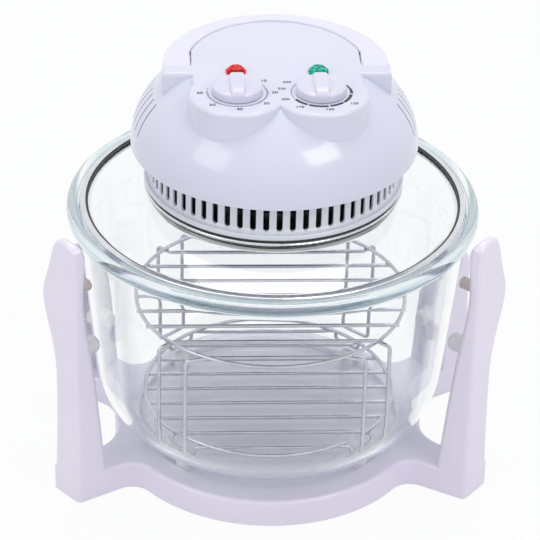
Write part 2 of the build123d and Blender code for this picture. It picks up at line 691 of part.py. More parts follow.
def bowl_outline(grow, top):
    """Edges from the middle of the base up to a height, moved outward by grow."""
    slope = tan(radians(BOWL_LEAN))
    across = BOWL_CORNER_W + grow
    down = BOWL_CORNER_H + grow
    end = degrees(atan(slope * down / across))
    base = Line((0, BOWL_CORNER_Z - down), (BOWL_FLAT_R, BOWL_CORNER_Z - down))
    centre = (BOWL_FLAT_R, BOWL_CORNER_Z)
    corner = EllipticalCenterArc(centre, across, down, start_angle=-90, arc_size=90 - end)
    join = corner @ 1
    wall = Line(join, (join.X + (top - join.Y) * slope, top))
    return [base, corner, wall]


def bowl_form(grow, top):
    """Solid that the bowl's outside would fill, up to a height."""
    edges = bowl_outline(grow, top)
    edges.append(Line(edges[-1] @ 1, (0, top)))
    edges.append(Line((0, top), edges[0] @ 0))
    return revolve(Plane.XZ * make_face(edges), Axis.Z)


def glass_bowl():
    outside = bowl_outline(0, LEDGE_Z)
    inside = bowl_outline(-GLASS_WALL, LEDGE_Z)
    ends = [Line(outside[-1] @ 1, inside[-1] @ 1), Line(outside[0] @ 0, inside[0] @ 0)]
    wall = make_face(outside + inside + ends)
    bead = Pos(BEAD_R, BEAD_Z) * Ellipse(BEAD_HALF_W, BEAD_HALF_H)
    section = wall + bead
    crease = [v for v in section.vertices() if v.Y > BEAD_Z - 2 * BEAD_HALF_H and v.Y < LEDGE_Z - 0.1]
    section = fillet(crease, BEAD_FILLET)
    return revolve(Plane.XZ * section, Axis.Z)


# ---- racks ------------------------------------------------------------------------
def wire(path):
    """Round wire along a path."""
    start = Plane(origin=path @ 0, z_dir=path % 0)
    return sweep(start * Circle(WIRE_R), path=path)


def rack(ring_r, z, leg_r):
    """Ring on cross bars; the two outer pairs of bars run down into legs."""
    spacing = 2 * ring_r * RACK_BAR_SPAN / (RACK_BARS - 1)
    rows = [ring_r * RACK_BAR_SPAN - spacing * i for i in range(RACK_BARS)]
    shape = Pos(0, 0, z + 2 * WIRE_R - WELD_BITE) * Torus(ring_r, WIRE_R)
    for y in rows[2:-2]:
        half = sqrt(ring_r**2 - y**2) + WIRE_R
        shape += bar_x(WIRE_R, -half, half, y, z)
    loop = both_sides(leg_loop(ring_r, z, leg_r, rows[0], rows[1]))
    return shape + loop + mirror(loop, Plane.XZ)


def leg_loop(ring_r, z, leg_r, outer_row, inner_row):
    """Right half of the closed wire of two cross bars and the legs that join them."""
    foot_z = bowl_floor(leg_r) + (WIRE_R + SOFT_GAP) * floor_stretch(leg_r)
    near = polar(leg_r, -LEG_ANGLES[0])
    far = polar(leg_r, -LEG_ANGLES[1])
    near_bend = sqrt(ring_r**2 - outer_row**2) * LEG_BAR_SHARES[0]
    far_bend = sqrt(ring_r**2 - inner_row**2) * LEG_BAR_SHARES[1]
    points = [
        Vector(0, -outer_row, z),
        Vector(near_bend, -outer_row, z),
        Vector(near.X, near.Y, z),
        Vector(near.X, near.Y, foot_z),
        Vector(far.X, far.Y, foot_z),
        Vector(far.X, far.Y, z),
        Vector(far_bend, -inner_row, z),
        Vector(0, -inner_row, z),
    ]
    return wire(FilletPolyline(*points, radius=LEG_BEND))


# ---- lid --------------------------------------------------------------------------
def lid_rim_ring():
    lip = LID_RING_INNER_R
    skin = LID_RING_R - STEEL_SHEET
    shape = turned(
        (lip, LEDGE_Z), (LID_RING_R, LEDGE_Z), (LID_RING_R, LID_RING_TOP), (lip, LID_RING_TOP),
        (lip, SEAL_HIGH_Z), (skin, SEAL_HIGH_Z), (skin, SEAL_LOW_Z), (lip, SEAL_LOW_Z),
    )
    corners = round_edges(shape, LID_RING_R)
    return fillet(corners, STEEL_SHEET * 0.9)


def lid_seal():
    skin = LID_RING_R - STEEL_SHEET
    return turned(
        (SEAL_INNER_R, SEAL_LOW_Z), (skin, SEAL_LOW_Z), (skin, SEAL_HIGH_Z), (SEAL_INNER_R, SEAL_HIGH_Z),
        (SEAL_INNER_R, LID_EDGE_HIGH_Z), (LID_GLASS_R, LID_EDGE_HIGH_Z),
        (LID_GLASS_R, LID_EDGE_LOW_Z), (SEAL_INNER_R, LID_EDGE_LOW_Z),
    )


def lid_glass():
    edge_r = LID_GLASS_R - LID_EDGE_WIDTH
    edges = [
        Line((LID_HOLE_R, LID_LAND_Z), (LID_LAND_R, LID_LAND_Z)),
        RadiusArc((LID_LAND_R, LID_LAND_Z), (edge_r, LID_EDGE_HIGH_Z), LID_DOME_R),
        Polyline(
            (edge_r, LID_EDGE_HIGH_Z), (LID_GLASS_R, LID_EDGE_HIGH_Z),
            (LID_GLASS_R, LID_EDGE_LOW_Z), (edge_r, LID_EDGE_LOW_Z),
        ),
        RadiusArc((edge_r, LID_EDGE_LOW_Z), (LID_LAND_R, LAND_LOW_Z), -LID_DOME_R),
        Polyline((LID_LAND_R, LAND_LOW_Z), (LID_HOLE_R, LAND_LOW_Z), (LID_HOLE_R, LID_LAND_Z)),
    ]
    return revolve(Plane.XZ * make_face(edges), Axis.Z)


def flange_seat_ring():
    shape = ring(LID_HOLE_R, SEAT_RING_R, LID_LAND_Z, LID_LAND_Z + SEAT_RING_H)
    return fillet(round_edges(shape, SEAT_RING_R), SEAT_RING_H * 0.4)


def flange_gasket():
    low = LID_LAND_Z + SEAT_RING_H
    return ring(LID_HOLE_R, GASKET_R, low, low + GASKET_H)


def lower_gasket():
    return ring(LID_HOLE_R, PAN_FLANGE_R, PAN_FLANGE_TOP_Z, LAND_LOW_Z)


# ---- vent ring --------------------------------------------------------------------
def vent_ring():
    """Slotted ring with a rolled lip below and a screw flange above."""
    inner = VENT_R - VENT_WALL
    lip_top = VENT_BASE_Z + LIP_H
    flange_r = DOME_R - PLASTIC_WALL - FLANGE_CLEARANCE
    section = [
        Polyline(
            (CLAMP_ORBIT - CLAMP_BOSS_R, VENT_BASE_Z), (LIP_R - LIP_EDGE, VENT_BASE_Z),
            (LIP_R, VENT_BASE_Z + LIP_EDGE), (LIP_R, lip_top - LIP_EDGE), (LIP_R - LIP_EDGE, lip_top),
        ),
        ThreePointArc((LIP_R - LIP_EDGE, lip_top), (VENT_R + 1.2, lip_top + 0.9), (VENT_R, lip_top + 3.4)),
        Polyline(
            (VENT_R, lip_top + 3.4), (VENT_R, FLANGE_LOW_Z), (flange_r, FLANGE_LOW_Z),
            (flange_r, FLANGE_TOP_Z), (inner, FLANGE_TOP_Z), (inner, VENT_BASE_Z + VENT_WALL),
            (CLAMP_ORBIT - CLAMP_BOSS_R, VENT_BASE_Z + VENT_WALL), (CLAMP_ORBIT - CLAMP_BOSS_R, VENT_BASE_Z),
        ),
    ]
    body = revolve(Plane.XZ * make_face(section), Axis.Z)
    slot = vent_slot(inner)
    body -= fuse(Rot(0, 0, 360 * i / SLOT_COUNT) * slot for i in range(SLOT_COUNT))
    for angle in QUARTERS:
        spot = polar(CLAMP_ORBIT, angle)
        body += rod(CLAMP_BOSS_R, PAN_FLANGE_TOP_Z + CLAMP_BOSS_GAP, VENT_BASE_Z + VENT_WALL, spot.X, spot.Y)
        body -= rod(HEAD_SCREW_R, 0, VENT_BASE_Z + VENT_WALL + 1, spot.X, spot.Y)
        spot = polar(HEAD_BOSS_ORBIT, angle)
        body -= rod(HEAD_SCREW_R + SCREW_CLEARANCE, FLANGE_LOW_Z - 1, FLANGE_TOP_Z + 1, spot.X, spot.Y)
    return body


def vent_slot(inner):
    """Cutter for one slot, round at the bottom and square at the top."""
    centre_z = SLOT_LOW_Z + SLOT_W / 2
    plan = Pos(0, centre_z) * Circle(SLOT_W / 2)
    plan += Pos(0, (centre_z + SLOT_HIGH_Z) / 2) * Rectangle(SLOT_W, SLOT_HIGH_Z - centre_z)
    plane = Plane((inner - 2, 0, 0), x_dir=(0, 1, 0), z_dir=(1, 0, 0))
    return plane * extrude(plan, VENT_WALL + 4)


# ---- head shell -------------------------------------------------------------------
def dome_form(inset):
    """Half of a flattened ball that stands on the head's lower edge."""
    across = DOME_R - inset
    up = DOME_H - inset
    arc = EllipticalCenterArc((0, DOME_BASE_Z), across, up, start_angle=0, arc_size=90)
    base = Polyline(arc @ 1, (0, DOME_BASE_Z), arc @ 0)
    return revolve(Plane.XZ * make_face([arc, base]), Axis.Z)


def deck_plan(inset):
    """Flat top of the head: two round lobes, the strip behind them and two shoulders."""
    lobe = Pos(KNOB_X, KNOB_Y) * Circle(LOBE_R - inset)
    plan = lobe + mirror(lobe, Plane.YZ)
    strip = CREASE_Y - KNOB_Y
    plan += Pos(0, KNOB_Y + strip / 2) * Rectangle(2 * (DECK_HALF_W - inset), strip)
    depth = CREASE_Y - SHOULDER_FRONT_Y - inset
    plan += Pos(0, CREASE_Y - depth / 2) * Rectangle(2 * (SHOULDER_HALF_W - inset), depth)
    return plan


def roofed_dome(inset):
    """Dome cut flat at the deck's height and sloping down behind the crease."""
    far = 2 * DOME_R
    top = PLATFORM_Z - inset
    back = top - tan(radians(ROOF_FALL)) * (far - CREASE_Y)
    outline = Polyline(
        (-far, DOME_BASE_Z), (-far, top), (CREASE_Y, top), (far, back), (far, DOME_BASE_Z), close=True
    )
    return dome_form(inset) & extrude(Plane.YZ * make_face(outline), far, both=True)


def head_form(inset, rounding=0.0):
    """Outside of the head, or a copy moved inward by inset."""
    deck = Pos(0, 0, LOBE_FLOOR_Z) * extrude(deck_plan(inset), PLATFORM_Z - inset - LOBE_FLOOR_Z)
    if rounding:
        rim = deck.edges().group_by(Axis.Z)[-1]
        deck = fillet([e for e in rim if e.center().Y < CREASE_Y - 0.1], rounding)
    return roofed_dome(inset) + deck


def hub_pockets(wall):
    """Round rooms in the shoulders for the handle's hubs, or those grown by a wall."""
    radius = HUB_R + HUB_CLEARANCE + wall
    pocket = bar_x(radius, DECK_HALF_W + HUB_CLEARANCE - wall, DOME_R, PIVOT_Y, PIVOT_Z)
    return both_sides(pocket)


def head_shell():
    outside = head_form(0, PLATFORM_ROUND)
    hollow = head_form(PLASTIC_WALL) - hub_pockets(PLASTIC_WALL)
    shell = outside - hollow
    inner_parts = pivot_bosses() + head_bosses() + switch_rib() + gland_boss()
    shell += inner_parts & outside_with_gland(outside)
    shell -= hub_pockets(0)
    shell -= both_sides(bar_x(PIVOT_PIN_R + PIN_FIT, 0, DOME_R, PIVOT_Y, PIVOT_Z) & shoulder_zone())
    for angle in QUARTERS:
        spot = polar(HEAD_BOSS_ORBIT, angle)
        shell -= rod(HEAD_SCREW_R, 0, FLANGE_TOP_Z + HEAD_SCREW_LENGTH, spot.X, spot.Y)
    for x in (-KNOB_X, KNOB_X):
        shell -= rod(BUSH_R + BUSH_FIT, DECK_UNDER_Z - 1, PLATFORM_Z + 1, x, KNOB_Y)
        shell -= rod(LENS_STEM_R + BUSH_FIT, DECK_UNDER_Z - 1, PLATFORM_Z + 1, x, LENS_Y)
    shell -= rod(LUG_WINDOW_R, LUG_LOW_Z - PLASTIC_WALL, PLATFORM_Z, LUG_X, LUG_Y)
    shell -= bar_y(GLAND_BODY_R + GLAND_FIT, DOME_R / 2, 2 * DOME_R, 0, GLAND_Z)
    shell -= bar_y(GLAND_BOSS_R, gland_seat_y(), 2 * DOME_R, 0, GLAND_Z)
    return shell - louvres()


def outside_with_gland(outside):
    """The head's outside with the flat boss that the gland needs."""
    return outside + gland_boss()


def shoulder_zone():
    """Stretch of X that the handle's pins take up."""
    width = DOME_R - PIVOT_INNER_X
    return block((width, DOME_R, PLATFORM_Z), 0, PIVOT_INNER_X - 1 + width / 2, 0)


def pivot_bosses():
    return both_sides(bar_x(PIVOT_BOSS_R, PIVOT_INNER_X, DECK_HALF_W, PIVOT_Y, PIVOT_Z))


def head_bosses():
    """Screw bosses from the dome down to the vent ring's flange."""
    spots = [polar(HEAD_BOSS_ORBIT, angle) for angle in QUARTERS]
    return fuse(rod(HEAD_BOSS_R, FLANGE_TOP_Z, PLATFORM_Z, p.X, p.Y) for p in spots)


def switch_rib():
    """Rib inside the dome that the safety switch is fixed to."""
    low = SWITCH_TOP_Z - SWITCH_SIZE[2]
    size = (SWITCH_SIZE[0], SWITCH_RIB, PLATFORM_Z - low)
    return block(size, low, LUG_X, LUG_Y + SWITCH_SIZE[1] / 2 + SWITCH_RIB / 2)


def gland_seat_y():
    """Flat face that the gland's flange lies on."""
    return DOME_R - 0.5


def gland_boss():
    return bar_y(GLAND_BOSS_R, gland_seat_y() - 8, gland_seat_y(), 0, GLAND_Z)


def louvres():
    """Cutters for the upright slits in both sides of the dome."""
    middle = (LOUVRE_LOW_Z + LOUVRE_HIGH_Z) / 2
    plan = Pos(0, middle) * Rot(0, 0, 90) * SlotOverall(LOUVRE_HIGH_Z - LOUVRE_LOW_Z, LOUVRE_W)
    plane = Plane((DOME_R - 25, 0, 0), x_dir=(0, 1, 0), z_dir=(1, 0, 0))
    slit = plane * extrude(plan, 40)
    angles = [LOUVRE_PITCH * (i - (LOUVRE_COUNT - 1) / 2) for i in range(LOUVRE_COUNT)]
    return fuse(Rot(0, 0, side + angle) * slit for side in (0, 180) for angle in angles)


# ---- handle -----------------------------------------------------------------------
def handle_plan():
    """Band round the back of the dome that ends in a square pad over each hub."""
    opening = Circle(HANDLE_INNER_R) & Rectangle(2 * (DECK_HALF_W + HANDLE_GAP), 4 * HANDLE_INNER_R)
    band = Circle(HANDLE_OUTER_R) - opening
    band &= Pos(0, PIVOT_Y + HANDLE_OUTER_R) * Rectangle(2 * HANDLE_OUTER_R, 2 * HANDLE_OUTER_R)
    width = HANDLE_OUTER_R - DECK_HALF_W - HANDLE_GAP
    pad = Pos(HANDLE_OUTER_R - width / 2, PIVOT_Y) * Rectangle(width, 3 * HUB_R)
    return band + pad + mirror(pad, Plane.YZ)


def bail_handle():
    """Bail that lies round the back of the dome, with a hub at each end."""
    tall = Pos(0, 0, LOBE_FLOOR_Z) * extrude(handle_plan(), PLATFORM_Z - LOBE_FLOOR_Z)
    tall = fillet(tall.edges().group_by(Axis.Z)[-1], HANDLE_ROUND)
    behind = block((2 * HANDLE_OUTER_R, HANDLE_OUTER_R, PLATFORM_Z), 0, 0, PIVOT_Y + HANDLE_OUTER_R / 2)
    body = (tall & behind) - roofed_dome(-HANDLE_GAP)
    body += tall & bar_x(HUB_R, -HANDLE_OUTER_R, HANDLE_OUTER_R, PIVOT_Y, PIVOT_Z)
    socket = bar_x(PIVOT_PIN_R + PIVOT_RUN_FIT, DECK_HALF_W, PIVOT_OUTER_X + 0.3, PIVOT_Y, PIVOT_Z)
    return body - both_sides(socket) + rod(LUG_R, LUG_LOW_Z, PIVOT_Z, LUG_X, LUG_Y)


def handle_pivots():
    return both_sides(bar_x(PIVOT_PIN_R, PIVOT_INNER_X - 1, PIVOT_OUTER_X, PIVOT_Y, PIVOT_Z))


def safety_switch():
    body = block(SWITCH_SIZE, SWITCH_TOP_Z - SWITCH_SIZE[2], LUG_X, LUG_Y)
    return body - rod(PLUNGER_R + SHAFT_FIT, SWITCH_TOP_Z - 9, SWITCH_TOP_Z + 1, LUG_X, LUG_Y)


def switch_plunger():
    return rod(PLUNGER_R, SWITCH_TOP_Z - 8, LUG_LOW_Z - PLUNGER_GAP, LUG_X, LUG_Y)


# ---- controls ---------------------------------------------------------------------
def knob_grip():
    """Straight arched grip that narrows towards its top."""
    rise = KNOB_H - KNOB_SKIRT_H
    arch_r = (KNOB_R**2 + rise**2) / (2 * rise)
    arch = [
        Polyline((-KNOB_R, KNOB_SKIRT_H), (-KNOB_R, 1), (KNOB_R, 1), (KNOB_R, KNOB_SKIRT_H)),
        RadiusArc((-KNOB_R, KNOB_SKIRT_H), (KNOB_R, KNOB_SKIRT_H), arch_r),
    ]
    grip = extrude(Plane.YZ * make_face(arch), KNOB_GRIP_W, both=True)
    half = KNOB_GRIP_W / 2
    lean = tan(radians(KNOB_GRIP_TAPER)) * (KNOB_H + 1)
    flank = Polyline((-half, 0), (half, 0), (half - lean, KNOB_H + 1), (-half + lean, KNOB_H + 1), close=True)
    grip &= extrude(Plane.XZ * make_face(flank), KNOB_R, both=True)
    ridge = [e for e in grip.edges() if e.center().Z > KNOB_H * 0.6]
    grip = fillet(ridge, KNOB_EDGE_ROUND)
    return grip & extrude(Circle(KNOB_R - 0.5), KNOB_H)


def knob(x):
    """Round skirt, low dome and a straight grip across the top, open below."""
    cap_r = (KNOB_R**2 + (KNOB_DOME_H - KNOB_SKIRT_H) ** 2) / (2 * (KNOB_DOME_H - KNOB_SKIRT_H))
    outline = [
        Polyline((0, KNOB_DOME_H), (0, 0), (KNOB_R, 0), (KNOB_R, KNOB_SKIRT_H)),
        RadiusArc((0, KNOB_DOME_H), (KNOB_R, KNOB_SKIRT_H), cap_r),
    ]
    body = revolve(Plane.XZ * make_face(outline), Axis.Z)
    shoulder = [e for e in round_edges(body, KNOB_R) if e.center().Z > KNOB_SKIRT_H - 1]
    body = fillet(shoulder, KNOB_EDGE_ROUND) + knob_grip()
    body -= extrude(Circle(KNOB_R - KNOB_SHELL) - Circle(KNOB_STEM_R), KNOB_SKIRT_H - KNOB_SHELL)
    body -= extrude(Circle(SHAFT_R + SHAFT_FIT), KNOB_BORE_DEPTH)
    return Pos(x, KNOB_Y, PLATFORM_Z + KNOB_GAP) * body


def control_shaft(x, low):
    return rod(SHAFT_R, low, PLATFORM_Z + KNOB_GAP + KNOB_BORE_DEPTH - 0.5, x, KNOB_Y)


def timer_body():
    low = DECK_UNDER_Z - TIMER_SIZE[2]
    body = block(TIMER_SIZE, low, -KNOB_X, KNOB_Y)
    body = fillet(body.edges().filter_by(Axis.Z), 4.0)
    body += rod(BUSH_R, DECK_UNDER_Z, PLATFORM_Z, -KNOB_X, KNOB_Y)
    body -= rod(SHAFT_R + SHAFT_FIT, DECK_UNDER_Z - 10, PLATFORM_Z + 1, -KNOB_X, KNOB_Y)
    return body + rod(2.0, low - BELL_GAP, low, -KNOB_X, KNOB_Y)


def timer_bell():
    """Shallow gong on the stud under the timer."""
    low = DECK_UNDER_Z - TIMER_SIZE[2] - BELL_GAP
    gong = turned((0, 0), (BELL_R, -BELL_H), (BELL_R - 1.2, -BELL_H), (0, -1.4))
    return Pos(-KNOB_X, KNOB_Y, low) * gong


def thermostat_body():
    body = rod(THERMOSTAT_R, DECK_UNDER_Z - THERMOSTAT_H, DECK_UNDER_Z, KNOB_X, KNOB_Y)
    body += rod(BUSH_R, DECK_UNDER_Z, PLATFORM_Z, KNOB_X, KNOB_Y)
    return body - rod(SHAFT_R + SHAFT_FIT, DECK_UNDER_Z - 10, PLATFORM_Z + 1, KNOB_X, KNOB_Y)


def thermostat_probe():
    """Sensing bulb that hangs from the heater pan's roof beside the lamp."""
    spot = polar(PAN_R - 6, PROBE_ANGLE + 135)
    path = FilletPolyline(
        Vector(spot.X, spot.Y, PAN_ROOF_Z + 6), Vector(spot.X, spot.Y, LAMP_Z + 4),
        Vector(spot.X + PROBE_LENGTH * 0.5, spot.Y + PROBE_LENGTH * 0.4, LAMP_Z + 4), radius=4.0,
    )
    start = Plane(origin=path @ 0, z_dir=path % 0)
    return sweep(start * Circle(PROBE_R), path=path)


def lens(x):
    """Cut jewel with a stem through the deck."""
    jewel = Pos(x, LENS_Y, PLATFORM_Z) * extrude(RegularPolygon(LENS_R, LENS_SIDES), LENS_H)
    jewel = chamfer(jewel.edges().group_by(Axis.Z)[-1], LENS_H * 0.6)
    return jewel + rod(LENS_STEM_R, PLATFORM_Z - LENS_STEM_LENGTH, PLATFORM_Z, x, LENS_Y)


def neon_holders():
    low = DECK_UNDER_Z - NEON_H
    holder = rod(NEON_R, low, DECK_UNDER_Z, KNOB_X, LENS_Y)
    holder -= rod(LENS_STEM_R + BUSH_FIT, low + 3, DECK_UNDER_Z + 1, KNOB_X, LENS_Y)
    return both_sides(holder)


# ---- heater -----------------------------------------------------------------------
def heater_pan():
    """Spun steel pan, open below, with the clamp flange round its mouth."""
    wall = PAN_R - STEEL_SHEET
    body = turned(
        (PAN_R - STEEL_SHEET, PAN_FLANGE_LOW_Z), (PAN_FLANGE_R, PAN_FLANGE_LOW_Z),
        (PAN_FLANGE_R, PAN_FLANGE_TOP_Z), (PAN_R, PAN_FLANGE_TOP_Z), (PAN_R, PAN_ROOF_Z),
        (SHAFT_HOLE_R, PAN_ROOF_Z), (SHAFT_HOLE_R, PAN_ROOF_Z - STEEL_SHEET),
        (wall, PAN_ROOF_Z - STEEL_SHEET),
    )
    for angle in QUARTERS:
        spot = polar(CLAMP_ORBIT, angle)
        body -= rod(HEAD_SCREW_R + SCREW_CLEARANCE, GUARD_LOW_Z, PAN_FLANGE_TOP_Z + 1, spot.X, spot.Y)
    probe = polar(PAN_R - 6, PROBE_ANGLE + 135)
    return body - rod(PROBE_R + 0.2, PAN_ROOF_Z - 2, PAN_ROOF_Z + 1, probe.X, probe.Y)


def lamp_guard():
    """Pressed steel plate with a ring of slots and a holed middle."""
    body = extrude(Pos(0, 0, GUARD_LOW_Z) * Circle(PAN_FLANGE_R), STEEL_SHEET)
    length = GUARD_SLOT_OUT_R - GUARD_SLOT_IN_R
    slot = Pos((GUARD_SLOT_OUT_R + GUARD_SLOT_IN_R) / 2, 0) * Rectangle(length, GUARD_SLOT_W)
    cutter = Pos(0, 0, GUARD_LOW_Z - 1) * extrude(slot, STEEL_SHEET + 2)
    body -= fuse(Rot(0, 0, 360 * i / GUARD_SLOTS) * cutter for i in range(GUARD_SLOTS))
    for angle in QUARTERS:
        spot = polar(CLAMP_ORBIT, angle)
        body -= rod(HEAD_SCREW_R + SCREW_CLEARANCE, GUARD_LOW_Z - 1, PAN_FLANGE_LOW_Z + 1, spot.X, spot.Y)
    return body


def screws(orbit, seat_z, length):
    """Four pan head screws that point up, their heads below a seat."""
    shape = []
    for angle in QUARTERS:
        spot = polar(orbit, angle)
        head = rod(SCREW_HEAD_R, seat_z - SCREW_HEAD_H, seat_z, spot.X, spot.Y)
        head = fillet(head.edges().group_by(Axis.Z)[0], SCREW_HEAD_H * 0.6)
        shape.append(head + rod(HEAD_SCREW_R - PIN_FIT, seat_z, seat_z + length, spot.X, spot.Y))
    return fuse(shape)


def lamp_arc(outer, inner=0.0):
    """Tube bent round the fan, open by the width of its end caps."""
    section = Circle(outer)
    if inner:
        section -= Circle(inner)
    start = Plane((LAMP_R, 0, LAMP_Z), x_dir=(1, 0, 0), z_dir=(0, 1, 0))
    tube = revolve(start * section, Axis.Z, LAMP_SWEEP)
    return Rot(0, 0, (360 - LAMP_SWEEP) / 2) * tube


def halogen_tube():
    return lamp_arc(LAMP_TUBE_R, LAMP_BORE_R)


def lamp_filament():
    return lamp_arc(FILAMENT_R)


def lamp_end_caps():
    """Ceramic blocks on the two ends of the tube, fixed to the pan's roof."""
    caps = []
    for side in (-1, 1):
        angle = side * (360 - LAMP_SWEEP) / 2
        low = LAMP_Z - END_CAP[2] / 2
        cap = block((END_CAP[1], END_CAP[0], END_CAP[2]), low, LAMP_R, -side * END_CAP[0] / 2)
        stalk_h = PAN_ROOF_Z - STEEL_SHEET - low - END_CAP[2]
        cap += Pos(LAMP_R, -side * END_CAP[0] / 2, low + END_CAP[2]) * extrude(Circle(3), stalk_h)
        caps.append(Rot(0, 0, angle) * cap)
    return caps[0] + caps[1]


def lamp_clips():
    """Spring clips that hang the tube from the pan's roof."""
    clips = []
    for angle in CLIP_ANGLES:
        plane = Plane((LAMP_R, -CLIP_W / 2, LAMP_Z), x_dir=(1, 0, 0), z_dir=(0, 1, 0))
        loop = Circle(LAMP_TUBE_R + 0.9) - Circle(LAMP_TUBE_R + 0.1)
        loop -= Pos(0, LAMP_TUBE_R) * Rectangle(LAMP_TUBE_R, 2 * LAMP_TUBE_R)
        clip = plane * extrude(loop, CLIP_W)
        top = PAN_ROOF_Z - STEEL_SHEET
        clip += Pos(LAMP_R, 0, LAMP_Z + LAMP_TUBE_R + 0.1) * extrude(
            Rectangle(0.8, CLIP_W), top - LAMP_Z - LAMP_TUBE_R - 0.1
        )
        clips.append(Rot(0, 0, angle) * clip)
    return fuse(clips)


# ---- fans and motor ---------------------------------------------------------------
def bladed_disc(radius, blades, blade_h, inner_r, disc_z, down):
    """Sheet disc with leaning radial blades on one side and a hub."""
    disc = extrude(Circle(radius), FAN_SHEET)
    blade = Pos((radius + inner_r) / 2 - 1, 0) * Rectangle(radius - inner_r, FAN_SHEET)
    blade = Pos(inner_r, 0) * Rot(0, 0, FAN_BLADE_LEAN) * Pos(-inner_r, 0) * blade
    solid = extrude(blade, blade_h + FAN_SHEET)
    wheel = disc + [Rot(0, 0, 360 * i / blades) * solid for i in range(blades)]
    wheel &= extrude(Circle(radius), blade_h + FAN_SHEET)
    wheel += extrude(Circle(FAN_HUB_R), blade_h)
    wheel -= extrude(Circle(SHAFT_R + PIN_FIT), blade_h + 2)
    if down:
        wheel = mirror(wheel, Plane.XY)
    return Pos(0, 0, disc_z) * wheel


def hot_air_fan():
    return bladed_disc(FAN_R, FAN_BLADES, FAN_BLADE_H, FAN_BLADE_IN_R, FAN_DISC_Z, True)


def cooling_fan():
    return bladed_disc(COOLING_FAN_R, COOLING_FAN_BLADES, COOLING_FAN_H, 14.0, COOLING_FAN_Z, False)


def fan_nut():
    low = FAN_DISC_Z - FAN_BLADE_H - NUT_H
    nut = Pos(0, 0, low) * extrude(RegularPolygon(NUT_R, 6), NUT_H)
    return nut - rod(SHAFT_R + PIN_FIT, low - 1, low + NUT_H + 1)


def motor_shaft():
    return rod(SHAFT_R, MOTOR_SHAFT_LOW_Z, MOTOR_SHAFT_HIGH_Z)


def motor_rotor():
    body = rod(ROTOR_R, CORE_LOW_Z + ROTOR_GAP, CORE_TOP_Z - ROTOR_GAP)
    return body - rod(SHAFT_R + PIN_FIT, CORE_LOW_Z, CORE_TOP_Z)


def motor_core():
    """Laminated frame with the rotor's bore and a window for the coil."""
    body = block(CORE_SIZE, CORE_LOW_Z)
    body += block((CORE_SIZE[0] * 0.7, 24.0, CORE_SIZE[2]), CORE_LOW_Z, 0, CORE_SIZE[1] / 2 + 12)
    window = (CORE_SIZE[0] * 0.7 - 24, COIL_SIZE[1] + 1, CORE_SIZE[2] + 2)
    body -= block(window, CORE_LOW_Z - 1, 0, CORE_SIZE[1] / 2 + 8)
    body += block((10.0, COIL_SIZE[1] + 2, CORE_SIZE[2]), CORE_LOW_Z, 0, CORE_SIZE[1] / 2 + 8)
    body -= rod(ROTOR_R + ROTOR_GAP, CORE_LOW_Z - 1, CORE_TOP_Z + 1)
    for x in (-MOTOR_SCREW_X, MOTOR_SCREW_X):
        body -= rod(MOTOR_SCREW_R + PIN_FIT, CORE_LOW_Z - 1, CORE_TOP_Z + 1, x, 0)
    return body


def motor_coil():
    """Winding round the core's middle leg."""
    y = CORE_SIZE[1] / 2 + 8
    low = CORE_LOW_Z + CORE_SIZE[2] / 2 - COIL_SIZE[2] / 2
    width = CORE_SIZE[0] * 0.7 - 24 - 0.6
    body = block((width, COIL_SIZE[1], COIL_SIZE[2]), low, 0, y)
    body = fillet(body.edges().filter_by(Axis.Y), 2.0)
    return body - block((10.4, COIL_SIZE[1] + 2, CORE_SIZE[2] + 0.4), CORE_LOW_Z - 0.2, 0, y)


def motor_end_plates():
    """Bearing plates above and below the core."""
    plates = []
    for low, away in ((CORE_LOW_Z - END_PLATE_SIZE[2], -1), (CORE_TOP_Z, 1)):
        plate = block(END_PLATE_SIZE, low)
        boss_low = low - BEARING_H + END_PLATE_SIZE[2] if away < 0 else low
        plate += rod(BEARING_R, boss_low, boss_low + BEARING_H)
        plate -= rod(SHAFT_R + SHAFT_FIT, low - BEARING_H, low + 2 * BEARING_H)
        for x in (-MOTOR_SCREW_X, MOTOR_SCREW_X):
            plate -= rod(MOTOR_SCREW_R + PIN_FIT, low - 1, low + 5, x, 0)
        plates.append(plate)
    return plates[0] + plates[1]


def motor_bracket():
    """Bridge plate on the standoffs, with spacers up to the motor's lower plate."""
    body = block(BRIDGE_SIZE, BRIDGE_LOW_Z)
    body = fillet(body.edges().filter_by(Axis.Z), 6.0)
    body -= rod(BEARING_R + 3, BRIDGE_LOW_Z - 1, BRIDGE_TOP_Z + 1)
    for x in (-MOTOR_SCREW_X, MOTOR_SCREW_X):
        body += rod(4.0, BRIDGE_TOP_Z, CORE_LOW_Z - END_PLATE_SIZE[2], x, 0)
        body -= rod(MOTOR_SCREW_R, BRIDGE_LOW_Z - 1, CORE_LOW_Z, x, 0)
    return body


def motor_standoffs():
    spots = [(x, y) for x in (-STANDOFF_X, STANDOFF_X) for y in (-STANDOFF_Y, STANDOFF_Y)]
    return fuse(rod(STANDOFF_R, PAN_ROOF_Z, BRIDGE_LOW_Z, x, y) for x, y in spots)


def motor_screws():
    seat = CORE_TOP_Z + END_PLATE_SIZE[2]
    screw = rod(MOTOR_SCREW_R - PIN_FIT, BRIDGE_LOW_Z, seat, MOTOR_SCREW_X, 0)
    return both_sides(screw + rod(SCREW_HEAD_R, seat, seat + SCREW_HEAD_H, MOTOR_SCREW_X, 0))


def thermal_cutout():
    x, y = CUTOUT_PLACE
    body = rod(CUTOUT_R, PAN_ROOF_Z, PAN_ROOF_Z + CUTOUT_H, x, y)
    return body + block((24.0, 6.0, 1.0), PAN_ROOF_Z, x, y)


def terminal_block():
    body = block(TERMINAL_SIZE, PAN_ROOF_Z, *TERMINAL_PLACE)
    for i in (-1, 0, 1):
        x = TERMINAL_PLACE[0] + i * 9
        body -= rod(2.4, PAN_ROOF_Z + 6, PAN_ROOF_Z + TERMINAL_SIZE[2] + 1, x, TERMINAL_PLACE[1])
    return body


